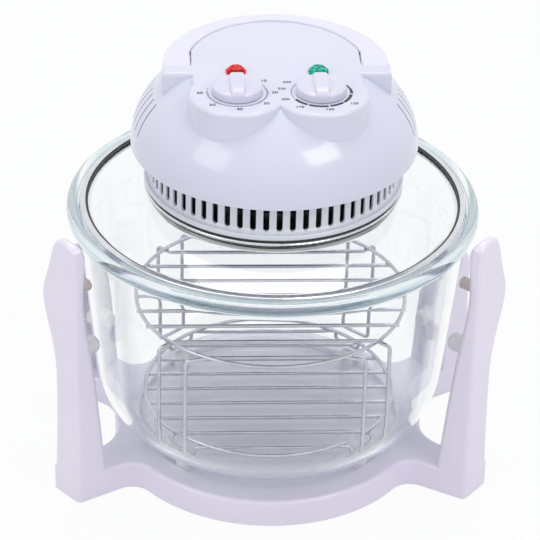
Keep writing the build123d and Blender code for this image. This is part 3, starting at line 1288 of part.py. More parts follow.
def wire_loom():
    """Silicone leads from the terminals round inside the vent slots and up to the timer."""
    leads = []
    for lift, angle in zip(LEAD_LIFTS, LEAD_RISES):
        z = PAN_ROOF_Z + lift
        start = Vector(TERMINAL_PLACE[0] - TERMINAL_SIZE[0] / 2, TERMINAL_PLACE[1], z)
        turn = Vector(-sqrt(LEAD_ORBIT**2 - start.Y**2), start.Y, z)
        bend = polar(LEAD_ORBIT, LEAD_TURN, z)
        foot = polar(LEAD_ORBIT - LEAD_RISE_INSIDE, angle, z)
        end = Vector(foot.X, foot.Y, DECK_UNDER_Z - TIMER_SIZE[2])
        path = FilletPolyline(start, turn, bend, foot, end, radius=LEAD_BEND)
        leads.append(sweep(Plane(origin=path @ 0, z_dir=path % 0) * Circle(LEAD_R), path=path))
    return fuse(leads)


def cord_gland():
    """Flanged bush with a spout for the supply cord."""
    seat = gland_seat_y()
    body = bar_y(GLAND_BODY_R, seat - 8 - GLAND_INSIDE, seat, 0, GLAND_Z)
    body += bar_y(GLAND_FLANGE_R, seat, seat + GLAND_FLANGE_H, 0, GLAND_Z)
    body += bar_y(GLAND_BODY_R, seat, seat + GLAND_FLANGE_H + GLAND_SPOUT_H, 0, GLAND_Z)
    return body - bar_y(GLAND_BORE_R, seat - 20, seat + 20, 0, GLAND_Z)


# ---- every node -------------------------------------------------------------------
def main():
    os.makedirs("parts", exist_ok=True)
    timer_low = DECK_UNDER_Z - 9
    nodes = {
        "base_stand": base_stand(),
        "rubber_feet": rubber_feet(),
        "bowl_seat_pads": bowl_seat_pads(),
        "post_bumpers": post_bumpers(),
        "rim_pads": rim_pads(),
        "glass_bowl": glass_bowl(),
        "high_rack": rack(HIGH_RACK_R, HIGH_RACK_Z, HIGH_RACK_LEG_R),
        "low_rack": rack(LOW_RACK_R, LOW_RACK_Z, LOW_RACK_LEG_R),
        "lid_rim_ring": lid_rim_ring(),
        "lid_seal": lid_seal(),
        "lid_glass": lid_glass(),
        "flange_seat_ring": flange_seat_ring(),
        "flange_gasket": flange_gasket(),
        "lower_gasket": lower_gasket(),
        "vent_ring": vent_ring(),
        "head_shell": head_shell(),
        "bail_handle": bail_handle(),
        "handle_pivots": handle_pivots(),
        "safety_switch": safety_switch(),
        "switch_plunger": switch_plunger(),
        "timer_knob": knob(-KNOB_X),
        "timer_shaft": control_shaft(-KNOB_X, timer_low),
        "timer_body": timer_body(),
        "timer_bell": timer_bell(),
        "thermostat_knob": knob(KNOB_X),
        "thermostat_shaft": control_shaft(KNOB_X, timer_low),
        "thermostat_body": thermostat_body(),
        "thermostat_probe": thermostat_probe(),
        "power_lens": lens(-KNOB_X),
        "heat_lens": lens(KNOB_X),
        "neon_holders": neon_holders(),
        "heater_pan": heater_pan(),
        "lamp_guard": lamp_guard(),
        "clamp_screws": screws(CLAMP_ORBIT, GUARD_LOW_Z, VENT_BASE_Z + VENT_WALL - GUARD_LOW_Z),
        "head_screws": screws(HEAD_BOSS_ORBIT, FLANGE_LOW_Z, HEAD_SCREW_LENGTH),
        "halogen_tube": halogen_tube(),
        "lamp_filament": lamp_filament(),
        "lamp_end_caps": lamp_end_caps(),
        "lamp_clips": lamp_clips(),
        "hot_air_fan": hot_air_fan(),
        "fan_nut": fan_nut(),
        "motor_shaft": motor_shaft(),
        "motor_rotor": motor_rotor(),
        "cooling_fan": cooling_fan(),
        "motor_core": motor_core(),
        "motor_coil": motor_coil(),
        "motor_end_plates": motor_end_plates(),
        "motor_bracket": motor_bracket(),
        "motor_standoffs": motor_standoffs(),
        "motor_screws": motor_screws(),
        "thermal_cutout": thermal_cutout(),
        "terminal_block": terminal_block(),
        "wire_loom": wire_loom(),
        "cord_gland": cord_gland(),
    }
    for name, shape in nodes.items():
        save(name, shape)


main()
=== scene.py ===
import json
import math

import bmesh
import bpy
from mathutils import Matrix, Vector


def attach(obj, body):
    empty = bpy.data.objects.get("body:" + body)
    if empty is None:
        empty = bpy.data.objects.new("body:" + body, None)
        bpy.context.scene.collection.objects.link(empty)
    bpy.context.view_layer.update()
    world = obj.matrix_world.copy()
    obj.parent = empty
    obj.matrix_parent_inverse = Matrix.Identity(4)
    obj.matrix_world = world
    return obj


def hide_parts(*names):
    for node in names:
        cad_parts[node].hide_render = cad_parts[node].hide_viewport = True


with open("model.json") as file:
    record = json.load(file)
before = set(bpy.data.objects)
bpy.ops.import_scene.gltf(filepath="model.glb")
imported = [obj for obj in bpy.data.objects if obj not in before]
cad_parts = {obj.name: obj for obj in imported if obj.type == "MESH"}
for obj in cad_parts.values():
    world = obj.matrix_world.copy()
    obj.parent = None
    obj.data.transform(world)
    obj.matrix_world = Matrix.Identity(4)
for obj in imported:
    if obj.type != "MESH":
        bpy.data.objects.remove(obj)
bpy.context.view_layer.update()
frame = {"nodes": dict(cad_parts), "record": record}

# Looks of the halogen oven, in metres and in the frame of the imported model: the knobs face -Y,
# +X is the user's right and the floor is at z = 0.

MM = 0.001
NODES = frame["nodes"]
BODY_OF = {
    node: body
    for body, members in frame["record"]["behaviour"]["bodies"].items()
    for node in members
}
SLOT_OF = {part["node"]: part["material_slot"] for part in frame["record"]["subparts"]}

# Sizes in millimetres, as in the model.
BOWL_FLAT_R = 99.4
BOWL_CORNER = (47.4, 61.2)    # half axes of the corner between the base and the wall
BOWL_CORNER_Z = 94.7
BOWL_LEAN = 5.17              # degrees that the wall leans out
GLASS_WALL = 4.5
LEDGE_Z = 229.0               # ledge inside the bead, where the lid's seal sits
BEAD_Z = 230.75
BEAD_OFFSET = 3.64            # bead's centre outside the wall's outer face
BEAD_HALF = (5.0, 5.75)       # half width and half height of the bead
BEAD_ARC = (-98, 295.5)       # degrees round the bead where its arc starts, and its sweep
BEAD_UNDER = -104             # degrees where the blend from the wall ends
CROOK_DROP, BLEND_DROP = 4.6, 8.0
WALL_STEPS = (30, 80)         # heights over the corner where the wall has a ring
LEDGE_DROP = 12
LEDGE_LIP = 0.5
LID_HOLE_R = 96.0
LID_LAND_R = 106.0            # flat land round the hole
LID_LAND_Z = 251.9
LID_GLASS = 4.0
LID_DOME_R = 190.0            # radius of the dome's arc
LID_EDGE_R = 150.3
LID_EDGE_Z = (231.25, 235.25)
LID_GLASS_R = 154.8
LID_ARRIS = 0.6               # bevel of the ground edge
DOME_R, DOME_H = 115.5, 81.4  # half axes of the head
DOME_BASE_Z = 290.5
DECK_Z = 358.5
KNOB_X, KNOB_Y = 32.4, -50.5
KNOB_GAP = 0.5                # under the knobs' skirts
SKIRT_R, SKIRT_H = 19.7, 5.0
GRIP_HALF_W = 6.4
GRIP_RISE = 6.4               # grip above the skirt
GRIP_REACH = 18.9             # half length
GRIP_OVERRUN = 0.4
GRIP_ROUND = 2.7              # exponent of its top's curve
GRIP_TAPER = 0.18
GRIP_FOOT, GRIP_SHOULDER = 4.0, 4.3
KNOB_VOXEL = 0.00036          # metres
BAIL_R = 90.0
BAIL_INNER = (71.0, 79.0)     # half axes of the bail's inner side
BAIL_TRIM_Y = 4.0             # behind this, nothing stands out past BAIL_R
BAIL_BAND_Y = 6.0             # behind this, the band is slimmed
ROOF_HALF = (70.6, 78.6)      # half axes of the crown inside the bail
ROOF_CLIP = 67.1              # its straight sides
ROOF_FRONT = 0.2
ROOF_FALL = 0.9               # degrees down to the back
SHELL_FALL = 4.8              # degrees of the shell's own roof below it
ROOF_LIFT, ROOF_SINK = 0.02, 0.4
ROOF_STEPS = 72
# Inset and drop of the crown's loops over its edge; the last one lies below the shell.
ROOF_EDGE = ((1.7, 0.0), (0.85, 0.25), (0.28, 0.8), (0.0, 1.7), (0.0, None))
TURNS, KNOB_TURNS = 240, 96   # points round a lathed piece

# Distances under which points merge, in metres.
MERGE = 0.000004
MERGE_FINE = 0.000002

FULL_TURN = 6.28319           # radians


# ---- camera, lamps and floor ---------------------------------------------------------
CAMERA_AIM = (-0.0009, -0.0003, 0.1671)
CAMERA_DISTANCE = 2.053
CAMERA_TURN, CAMERA_ELEVATION, CAMERA_ROLL = 3.29, 31.46, 1.42
CAMERA_LENS, CAMERA_SENSOR = 165.0, 36.0

LAMP_AIM = (0, 0, 0.2)
# name: place, size, watts
SOFTBOXES = {
    "key_softbox": ((1.3, -1.4, 1.9), (1.1, 0.8), 12.5),
    "fill_softbox": ((-1.6, -1.0, 1.4), (1.0, 1.0), 7),
    "top_softbox": ((0.0, 0.5, 2.2), (1.4, 1.0), 12),
}

ROOM_COLOUR, ROOM_STRENGTH = (0.96, 0.98, 1.0), 0.62
WHITE = (1, 1, 1)
FLOOR_HALF = 6.0
FLOOR_WHITENESS = 0.92        # the rest keeps the object's shadow


def set_camera():
    turn, elevation, roll = (
        math.radians(angle) for angle in (CAMERA_TURN, CAMERA_ELEVATION, CAMERA_ROLL)
    )
    data = bpy.data.cameras.new("camera")
    data.lens, data.sensor_width = CAMERA_LENS, CAMERA_SENSOR
    camera = stand_in_scene("camera", data)
    away = Vector((
        -math.sin(turn) * math.cos(elevation),
        -math.cos(turn) * math.cos(elevation),
        math.sin(elevation),
    ))
    camera.location = Vector(CAMERA_AIM) + CAMERA_DISTANCE * away
    level = Matrix.Rotation(-turn, 3, "Z") @ Matrix.Rotation(math.pi / 2 - elevation, 3, "X")
    camera.rotation_euler = (level @ Matrix.Rotation(roll, 3, "Z")).to_euler()
    bpy.context.scene.camera = camera


def add_softbox(name, place, size, watts):
    data = bpy.data.lights.new(name, "AREA")
    data.shape, data.size, data.size_y = "RECTANGLE", size[0], size[1]
    data.energy = watts
    lamp = stand_in_scene(name, data)
    lamp.location = place
    facing = Vector(LAMP_AIM) - Vector(place)
    lamp.rotation_euler = facing.to_track_quat("-Z", "Y").to_euler()


def seen_directly(graph):
    """1 for what the camera sees, straight on, mirrored or through glass."""
    rays = [
        graph.node("ShaderNodeLightPath", output=ray)
        for ray in ("Is Camera Ray", "Is Glossy Ray", "Is Transmission Ray")
    ]
    return graph.maths("MINIMUM", rays[0] + rays[1] + rays[2], 1.0)


def light_the_room():
    """White surroundings to the camera, plain soft light on the object."""
    world = bpy.data.worlds.new("studio")
    world.use_nodes = True
    bpy.context.scene.world = world
    w = Graph(world.node_tree)
    room = w.node(
        "ShaderNodeBackground", None, {"Color": ROOM_COLOUR, "Strength": ROOM_STRENGTH}
    )
    white = w.node("ShaderNodeBackground", None, {"Color": WHITE, "Strength": 1.0})
    mixed = w.node("ShaderNodeMixShader", None, {0: seen_directly(w), 1: room, 2: white})
    w.node("ShaderNodeOutputWorld", None, {"Surface": mixed}, output=None)
    for name, (place, size, watts) in SOFTBOXES.items():
        add_softbox(name, place, size, watts)


def lay_floor():
    """Pale floor that reads white to the camera but keeps a soft shadow."""
    mesh = bpy.data.meshes.new("floor")
    corners = [(x * FLOOR_HALF, y * FLOOR_HALF, 0) for x, y in ((-1, -1), (1, -1), (1, 1), (-1, 1))]
    mesh.from_pydata(corners, [], [(0, 1, 2, 3)])
    floor = stand_in_scene("floor", mesh)
    f = Finish("floor_paper")
    fleck = f.blend(f.noise(30.0, 4.0), (0.86, 0.86, 0.87), (0.88, 0.88, 0.89))
    paper = f.node("ShaderNodeBsdfDiffuse", None, {"Color": fleck})
    glow = f.node("ShaderNodeEmission", None, {"Color": WHITE, "Strength": 1.0})
    seen = seen_directly(f) * FLOOR_WHITENESS
    wear(floor, f.finish(f.node("ShaderNodeMixShader", None, {0: seen, 1: paper, 2: glow})))


# ---- node building -------------------------------------------------------------------
class Wire:
    """An output socket that takes part in arithmetic."""

    def __init__(self, graph, socket):
        self.graph, self.socket = graph, socket

    def __add__(self, other):
        return self.graph.maths("ADD", self, other)

    def __sub__(self, other):
        return self.graph.maths("SUBTRACT", self, other)

    def __rsub__(self, other):
        return self.graph.maths("SUBTRACT", other, self)

    def __mul__(self, other):
        return self.graph.maths("MULTIPLY", self, other)

    def __truediv__(self, other):
        return self.graph.maths("DIVIDE", self, other)

    def __rtruediv__(self, other):
        return self.graph.maths("DIVIDE", other, self)

    __radd__ = __add__
    __rmul__ = __mul__


class Graph:
    """A node tree while it is built."""

    def __init__(self, tree):
        self.nodes, self.links = tree.nodes, tree.links
        self.nodes.clear()

    def node(self, kind, settings=None, inputs=None, output=0):
        """Adds a node with its settings, then the values or links of its sockets.

        Returns one of its outputs, or the node itself where output is None."""
        made = self.nodes.new(kind)
        for key, value in (settings or {}).items():
            setattr(made, key, value)
        for key, value in (inputs or {}).items():
            socket = made.inputs[key]
            if isinstance(value, (Wire, list)):
                for wire in value if isinstance(value, list) else [value]:
                    self.links.new(wire.socket, socket)
                continue
            if isinstance(value, tuple) and len(value) == 3:
                value = (*value, 1)[:len(socket.default_value)]
            socket.default_value = value
        return made if output is None else Wire(self, made.outputs[output])

    def maths(self, operation, first, second=0.0):
        return self.node("ShaderNodeMath", {"operation": operation}, {0: first, 1: second})

    def vector(self, x=0.0, y=0.0, z=0.0):
        return self.node("ShaderNodeCombineXYZ", None, {0: x, 1: y, 2: z})

    def axes(self, vector):
        split = self.node("ShaderNodeSeparateXYZ", None, {"Vector": vector}, output=None)
        return [Wire(self, axis) for axis in split.outputs]


FINISHES = {}


class Finish(Graph):
    """One material while it is built; it is kept in FINISHES under its name."""

    def __init__(self, name):
        self.name = name
        self.material = bpy.data.materials.new(name)
        self.material.use_nodes = True
        super().__init__(self.material.node_tree)

    def place(self):
        return self.node("ShaderNodeTexCoord", output="Object")

    def round_z(self):
        """Distance from the Z axis, with the three coordinates."""
        x, y, z = self.axes(self.place())
        return self.maths("SQRT", x * x + y * y), x, y, z

    def stretched(self, scale, turn=(0, 0, 0)):
        wires = {"Vector": self.place(), "Scale": scale, "Rotation": turn}
        return self.node("ShaderNodeMapping", None, wires)

    def noise(self, scale, detail=3.0, rough=0.5, vector=None):
        wires = {
            "Vector": vector or self.place(), "Scale": scale, "Detail": detail, "Roughness": rough,
        }
        return self.node("ShaderNodeTexNoise", None, wires)

    def band(self, value, low, high):
        """0 below low and 1 above high, smooth between."""
        wires = {"Value": value, "From Min": low, "From Max": high}
        return self.node("ShaderNodeMapRange", {"interpolation_type": "SMOOTHSTEP"}, wires)

    def blend(self, mask, first, second):
        """Mixes two colours."""
        wires = {0: mask, 6: first, 7: second}
        return self.node("ShaderNodeMix", {"data_type": "RGBA"}, wires, output=2)

    def bump(self, height, depth, strength=1.0):
        wires = {"Height": height, "Distance": depth, "Strength": strength}
        return self.node("ShaderNodeBump", None, wires)

    def surface(self, **sockets):
        """Principled shader; socket names are written with underscores."""
        inputs = {
            key.replace("_", " ").title().replace("Ior", "IOR"): value
            for key, value in sockets.items()
        }
        return self.node("ShaderNodeBsdfPrincipled", None, inputs)

    def finish(self, shader, volume=None):
        inputs = {"Surface": shader}
        if volume:
            inputs["Volume"] = volume
        self.node("ShaderNodeOutputMaterial", None, inputs, output=None)
        FINISHES[self.name] = self.material
        return self.material


def shaded(colour, share):
    """A colour brought down to a share of itself."""
    return tuple(share * c for c in colour)


# ---- finishes ------------------------------------------------------------------------
MOTTLED = (0.35, 0.75)        # range of a noise that gives soft patches
# Where the tint and the painted shade of the bowl's rolled edge change: millimetres below the
# bead's centre.
BEAD_FOOT, CROOK_FOOT = (5.4, 4.6), (6.6, 5.6)
# The same in metres from the Z axis, up and down again, for its outer and its inner side.
BEAD_OUTER = ((0.1661, 0.1673), (0.1677, 0.1680))
BEAD_INNER = ((0.1586, 0.1592), (0.1594, 0.1602))
RING_EDGE = 0.001             # half width of a soft change at a radius, metres


def scuffs(f, along=40.0, across=1400.0):
    """Sparse hairline marks in two directions, from 0 to 1."""
    first = f.noise(1.0, 2.0, 0.5, f.stretched((along, across, across), (0.3, 0.2, 0.5)))
    second = f.noise(1.0, 2.0, 0.5, f.stretched((across, along, across), (0.1, 0.5, 1.2)))
    return f.band(first, 0.72, 0.80) + f.band(second, 0.73, 0.81)


def moulded_plastic(name, colour, shade, roughness, painted_shade_r=None):
    """Glossy moulded plastic with rare specks and hairlines; painted shade makes it near black
    inside a given radius.
    """
    f = Finish(name)
    slow = f.band(f.noise(7.0, 2.0), 0.32, 0.70)
    smear = f.band(f.noise(30.0, 4.0, 0.6), *MOTTLED)
    specks = f.band(f.noise(750.0, 1.0), 0.80, 0.85)
    marks = scuffs(f)
    tone = f.blend(slow, colour, shade)
    tone = f.blend(specks * 0.08, tone, shaded(colour, 0.55))
    tone = f.blend(marks * 0.03, tone, shaded(colour, 0.82))
    # Painted shade: inside the radius, seen through the vent's slots, the plastic is near black.
    if painted_shade_r:
        edge = f.band(f.round_z()[0], painted_shade_r - 0.0004, painted_shade_r + 0.0004)
        tone = f.blend(edge, (0.012, 0.012, 0.013), tone)
    peel = f.noise(210.0, 2.0, 0.45)
    shader = f.surface(
        base_color=tone,
        roughness=roughness + smear * 0.035 + marks * 0.06 + specks * 0.10,
        ior=1.50, coat_weight=0.25, coat_roughness=0.08,
        normal=f.bump(peel - marks * 0.06, 0.00002),
    )
    return f.finish(shader)


def rubber(name, colour, dust):
    """Soft matte rubber with fine grain and a bloom of dust."""
    f = Finish(name)
    bloom = f.band(f.noise(46.0, 5.0, 0.65), 0.42, 0.72)
    grain = f.noise(1500.0, 3.0, 0.6)
    tone = f.blend(bloom * 0.5, colour, dust)
    tone = f.blend(f.band(grain, 0.60, 0.75) * 0.25, tone, dust)
    shader = f.surface(
        base_color=tone, roughness=0.62 + bloom * 0.16, ior=1.52, sheen_weight=0.15,
        normal=f.bump(grain + bloom * 0.4, 0.00006),
    )
    return f.finish(shader)


def rolled_bead(f, tone, rolled):
    """Tints of the bowl's rolled edge: a tint on the outer side, and painted shade in a darker tint
    on the inner side and the crook below it.
    """
    radius, _, _, height = f.round_z()
    bead, from_crook = (
        f.band(height, (BEAD_Z - low) * MM, (BEAD_Z - high) * MM)
        for low, high in (BEAD_FOOT, CROOK_FOOT)
    )
    crook = from_crook - bead
    outer = f.band(radius, *BEAD_OUTER[0]) - f.band(radius, *BEAD_OUTER[1]) * 0.4
    inner = f.band(radius, *BEAD_INNER[0]) - f.band(radius, *BEAD_INNER[1])
    tone = f.blend(bead * outer * 0.9, tone, rolled)
    # Painted shade: a darker tint on the bead's inner side and in the crook below it.
    tone = f.blend(bead * inner * 0.75, tone, shaded(rolled, 0.45))
    return f.blend(crook, tone, shaded(rolled, 0.45))


def clear_glass(name, tint, absorb, density, rolled=None):
    """Tempered glass: wavy to a hair, faintly wiped, tinted in its depth, clear to soft light."""
    f = Finish(name)
    wipes = f.noise(1.0, 4.0, 0.6, f.stretched((14.0, 14.0, 60.0), (0.4, 0.1, 0.0)))
    wipes = f.band(wipes, 0.52, 0.80)
    ripple, ripple_depth = f.noise(22.0, 1.0) + f.noise(9.0, 1.0), 0.00006
    tone = f.blend(wipes * 0.4, tint, shaded(tint, 0.985))
    # The rolled edge gets its tint and its painted shade.
    if rolled:
        tone, ripple_depth = rolled_bead(f, tone, rolled), 0.00002
    glass = f.surface(
        base_color=tone, roughness=0.004 + wipes * 0.02, ior=1.47, transmission_weight=1.0,
        normal=f.bump(ripple, ripple_depth),
    )
    # Soft light, shadows and rays that have crossed four walls pass straight through.
    through = f.node("ShaderNodeBsdfTransparent", None, {"Color": shaded(tint, 0.955)})
    shadow, soft, depth = (
        f.node("ShaderNodeLightPath", output=ray)
        for ray in ("Is Shadow Ray", "Is Diffuse Ray", "Ray Depth")
    )
    spent = f.maths("GREATER_THAN", depth, 3.5)
    clear = f.maths("MINIMUM", shadow + soft + spent, 1.0)
    shader = f.node("ShaderNodeMixShader", None, {0: clear, 1: glass, 2: through})
    depths = {"Color": absorb, "Density": density}
    return f.finish(shader, f.node("ShaderNodeVolumeAbsorption", None, depths))


def metal(name, colour, dark, roughness, spread, lines=(500.0, 500.0, 500.0), line_depth=0.00001):
    """Bare metal: directional polish lines, blotchy sheen and small stains."""
    f = Finish(name)
    brush = f.noise(1.0, 4.0, 0.65, f.stretched(lines))
    blotch = f.band(f.noise(55.0, 4.0, 0.6), *MOTTLED)
    stains = f.band(f.noise(170.0, 3.0, 0.6), 0.66, 0.80)
    tone = f.blend(blotch * 0.55, colour, dark)
    tone = f.blend(stains * 0.35, tone, shaded(dark, 0.6))
    rough = roughness + (brush - 0.5) * spread + blotch * 0.07 + stains * 0.12
    shader = f.surface(
        base_color=tone, metallic=1.0, roughness=rough, normal=f.bump(brush, line_depth, 0.8)
    )
    return f.finish(shader)


def turned_metal(name, colour, dark, roughness, spread, pitch, rim=None):
    """Metal with polish lines round the Z axis; rim is a bright colour outside a radius, a painted
    highlight.
    """
    f = Finish(name)
    radius, x, y, z = f.round_z()
    around = f.maths("ARCTAN2", y, x)
    lines = f.noise(1.0, 4.0, 0.7, f.vector(radius * pitch, around * 3.0, z * pitch))
    blotch = f.band(f.noise(40.0, 4.0, 0.6), *MOTTLED)
    tone = f.blend(blotch * 0.5, colour, dark)
    tone = f.blend(f.band(lines, 0.55, 0.75) * 0.3, tone, dark)
    # Painted highlight: a bright colour outside the rim's radius.
    if rim:
        bright, rim_r = rim
        tone = f.blend(f.band(radius, rim_r - RING_EDGE, rim_r + RING_EDGE), tone, bright)
    rough = roughness + (lines - 0.5) * spread + blotch * 0.08
    shader = f.surface(
        base_color=tone, metallic=1.0, roughness=rough, normal=f.bump(lines, 0.000012, 0.8)
    )
    return f.finish(shader)


def jewel_plastic(name, colour, deep, painted_glint):
    """Clear coloured acrylic: painted glints on bright cells, painted shade in the dark cuts
    between them, and a faint painted glow.
    """
    f = Finish(name)
    cells = f.node(
        "ShaderNodeTexVoronoi", {"feature": "F1"}, {"Vector": f.place(), "Scale": 330.0}
    )
    flow = f.noise(320.0, 3.0, 0.6)
    tone = f.blend(f.band(flow, 0.35, 0.7), colour, deep)
    # Painted shade in the cuts between the facets.
    tone = f.blend(f.band(cells, 0.42, 0.66) * 0.75, tone, shaded(deep, 0.25))
    # Painted glint in the middle of each facet.
    tone = f.blend((1.0 - f.band(cells, 0.06, 0.20)) * 0.7, tone, painted_glint)
    # The emission is a painted glow in the lens's own colours.
    shader = f.surface(
        base_color=tone, roughness=0.06 + f.band(flow, 0.5, 0.8) * 0.08, ior=1.49,
        specular_ior_level=0.22, emission_color=tone, emission_strength=0.22,
        normal=f.bump(cells * 4.0 + flow, 0.00006),
    )
    return f.finish(shader)


def plain_part(name, colour, other, roughness, scale=300.0, depth=0.00008):
    """Hidden working parts: grainy body with mottled tone."""
    f = Finish(name)
    grain = f.noise(scale, 4.0, 0.6)
    patch = f.band(f.noise(60.0, 3.0), 0.35, 0.7)
    tone = f.blend(f.band(grain, 0.4, 0.75), colour, other)
    tone = f.blend(patch * 0.4, tone, shaded(other, 0.8))
    shader = f.surface(
        base_color=tone, roughness=roughness + patch * 0.1, normal=f.bump(grain, depth)
    )
    return f.finish(shader)


def dial_ink():
    """Pad-printed ink, a little worn."""
    f = Finish("dial_ink")
    rubbed = f.band(f.noise(900.0, 3.0, 0.6), 0.30, 0.62)
    tone = f.blend(rubbed, (0.06, 0.055, 0.07), (0.012, 0.011, 0.016))
    shader = f.surface(
        base_color=tone, roughness=0.42 + rubbed * 0.08, normal=f.bump(rubbed, 0.00001)
    )
    return f.finish(shader)


moulded_plastic("stand_plastic", (0.855, 0.805, 0.930), (0.825, 0.775, 0.915), 0.24)
moulded_plastic("head_plastic", (0.735, 0.742, 0.870), (0.712, 0.720, 0.858), 0.16)
# The vent ring is near black inside its slots as painted shade.
moulded_plastic(
    "vent_plastic", (0.800, 0.815, 0.880), (0.775, 0.795, 0.870), 0.24, painted_shade_r=0.0978
)
moulded_plastic("handle_plastic", (0.815, 0.790, 0.930), (0.795, 0.772, 0.920), 0.20)
moulded_plastic("knob_plastic", (0.700, 0.680, 0.835), (0.745, 0.738, 0.872), 0.22)
rubber("foot_rubber", (0.075, 0.075, 0.080), (0.20, 0.20, 0.21))
rubber("bumper_rubber", (0.82, 0.80, 0.83), (0.88, 0.86, 0.88))
rubber("rim_pad_rubber", (0.60, 0.52, 0.50), (0.70, 0.63, 0.61))
rubber("seal_silicone", (0.030, 0.033, 0.036), (0.075, 0.080, 0.085))
rubber("gasket_rubber", (0.014, 0.014, 0.016), (0.040, 0.040, 0.044))
rubber("lead_silicone", (0.62, 0.035, 0.028), (0.70, 0.12, 0.10))
# The bowl's rolled edge takes this tint, and a darker one as painted shade.
clear_glass(
    "bowl_glass", (0.992, 0.998, 0.998), (0.52, 0.72, 0.80), 6.0, rolled=(0.52, 0.72, 0.80)
)
clear_glass("lid_glass", (0.992, 0.998, 0.998), (0.50, 0.78, 0.84), 7.0)
clear_glass("quartz", (0.99, 0.99, 0.985), (0.9, 0.9, 0.88), 4.0)
turned_metal("rim_steel", (0.74, 0.75, 0.78), (0.55, 0.56, 0.59), 0.20, 0.16, 1800.0)
# Heater pan: dark partly as heat tint and partly as painted shade of the head's inside, with a
# painted highlight outside the rim radius, seen low in the vent's slots.
turned_metal(
    "pan_steel", (0.10, 0.10, 0.105), (0.045, 0.045, 0.05), 0.34, 0.14, 1100.0,
    rim=((0.46, 0.45, 0.44), 0.0885),
)
turned_metal("fan_aluminium", (0.78, 0.78, 0.79), (0.60, 0.60, 0.62), 0.32, 0.18, 900.0)
turned_metal("bell_brass", (0.70, 0.52, 0.22), (0.50, 0.36, 0.15), 0.28, 0.15, 900.0)
metal(
    "rack_chrome", (0.56, 0.58, 0.64), (0.36, 0.38, 0.44), 0.16, 0.12, (900.0, 900.0, 900.0)
)
metal(
    "screw_steel", (0.62, 0.62, 0.63), (0.42, 0.42, 0.44), 0.30, 0.16, (1500.0, 1500.0, 300.0)
)
metal(
    "shaft_steel", (0.60, 0.60, 0.62), (0.42, 0.42, 0.44), 0.22, 0.14, (300.0, 2200.0, 2200.0)
)
metal(
    "core_steel", (0.16, 0.16, 0.17), (0.07, 0.065, 0.06), 0.45, 0.20, (60.0, 60.0, 2400.0),
    0.0001,
)
metal("tungsten", (0.40, 0.37, 0.34), (0.22, 0.20, 0.19), 0.35, 0.2)
metal("probe_copper", (0.72, 0.38, 0.22), (0.45, 0.20, 0.12), 0.30, 0.18)
plain_part("coil_tape", (0.62, 0.44, 0.08), (0.50, 0.33, 0.05), 0.45)
plain_part("ceramic", (0.80, 0.77, 0.70), (0.72, 0.68, 0.60), 0.70, 800.0)
plain_part(
    "black_plastic", (0.022, 0.022, 0.024), (0.040, 0.040, 0.043), 0.42, 1200.0, 0.00003
)
# Lens colours: body, deeper tone and the painted glint.
jewel_plastic("lens_red", (0.86, 0.002, 0.003), (0.62, 0.001, 0.002), (1.0, 0.10, 0.08))
jewel_plastic("lens_green", (0.001, 0.52, 0.36), (0.0, 0.30, 0.22), (0.10, 0.90, 0.70))


# ---- pieces in general ---------------------------------------------------------------
def wear(piece, material):
    """Gives a piece one material all over."""
    piece.data.materials.clear()
    piece.data.materials.append(material)


def stand_in_scene(name, data):
    piece = bpy.data.objects.new(name, data)
    bpy.context.scene.collection.objects.link(piece)
    return piece


def add_piece(piece, body, slot, material=None):
    """Gives a new piece its finish, body and slot."""
    wear(piece, material or FINISHES[slot])
    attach(piece, body)
    return piece


def hand_over(piece, node):
    """A piece takes over from a CAD node: its body, slot and finish."""
    add_piece(piece, BODY_OF[node], SLOT_OF[node])
    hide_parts(node)


def soften(mesh, crease):
    mesh.set_sharp_from_angle(angle=math.radians(crease))
    mesh.polygons.foreach_set("use_smooth", [True] * len(mesh.polygons))
    mesh.update()


def settled_mesh(piece):
    """What a piece's modifiers or its text come to, as a plain mesh."""
    graph = bpy.context.evaluated_depsgraph_get()
    return bpy.data.meshes.new_from_object(piece.evaluated_get(graph))


def freeze(piece):
    mesh = settled_mesh(piece)
    piece.modifiers.clear()
    piece.data = mesh
    mesh.name = piece.name


def merge_close(mesh, distance, degenerate=None):
    """Merges a mesh's doubles and, where a size is given, dissolves slivers under it."""
    work = bmesh.new()
    work.from_mesh(mesh)
    bmesh.ops.remove_doubles(work, verts=work.verts, dist=distance)
    if degenerate:
        bmesh.ops.dissolve_degenerate(work, edges=work.edges, dist=degenerate)
    work.to_mesh(mesh)
    work.free()


def close_loops(work, loops, closed):
    """Quads between neighbouring loops of points, with single points at the poles."""
    count = len(loops[0])
    for near, far in zip(loops, loops[1:] + loops[:1] if closed else loops[1:]):
        for i in range(count):
            j = (i + 1) % count
            work.faces.new(list(dict.fromkeys([near[i], near[j], far[j], far[i]])))


def turn_outline(work, outline, turns, unit, closed=False):
    """Turns an outline of (radius, height) about the Z axis."""
    angles = [2 * math.pi * i / turns for i in range(turns)]
    rings = []
    for radius, height in outline:
        if radius < 1e-6:
            rings.append([work.verts.new((0, 0, height * unit))] * turns)
            continue
        rings.append([
            work.verts.new((
                radius * unit * math.cos(angle), radius * unit * math.sin(angle), height * unit
            ))
            for angle in angles
        ])
    close_loops(work, rings, closed)


def lathed(name, node, outline, closed):
    """An outline in millimetres turned about the Z axis, in a node's place."""
    mesh = bpy.data.meshes.new(name)
    work = bmesh.new()
    turn_outline(work, outline, TURNS, MM, closed)
    bmesh.ops.recalc_face_normals(work, faces=work.faces)
    work.to_mesh(mesh)
    work.free()
    soften(mesh, 38.0)
    hand_over(stand_in_scene(name, mesh), node)


def arc_points(centre, radii, start, sweep, steps):
    """Points of an elliptical arc, angles in degrees."""
    turns = [math.radians(start + sweep * i / steps) for i in range(steps + 1)]
    return [
        (centre[0] + radii[0] * math.cos(t), centre[1] + radii[1] * math.sin(t)) for t in turns
    ]


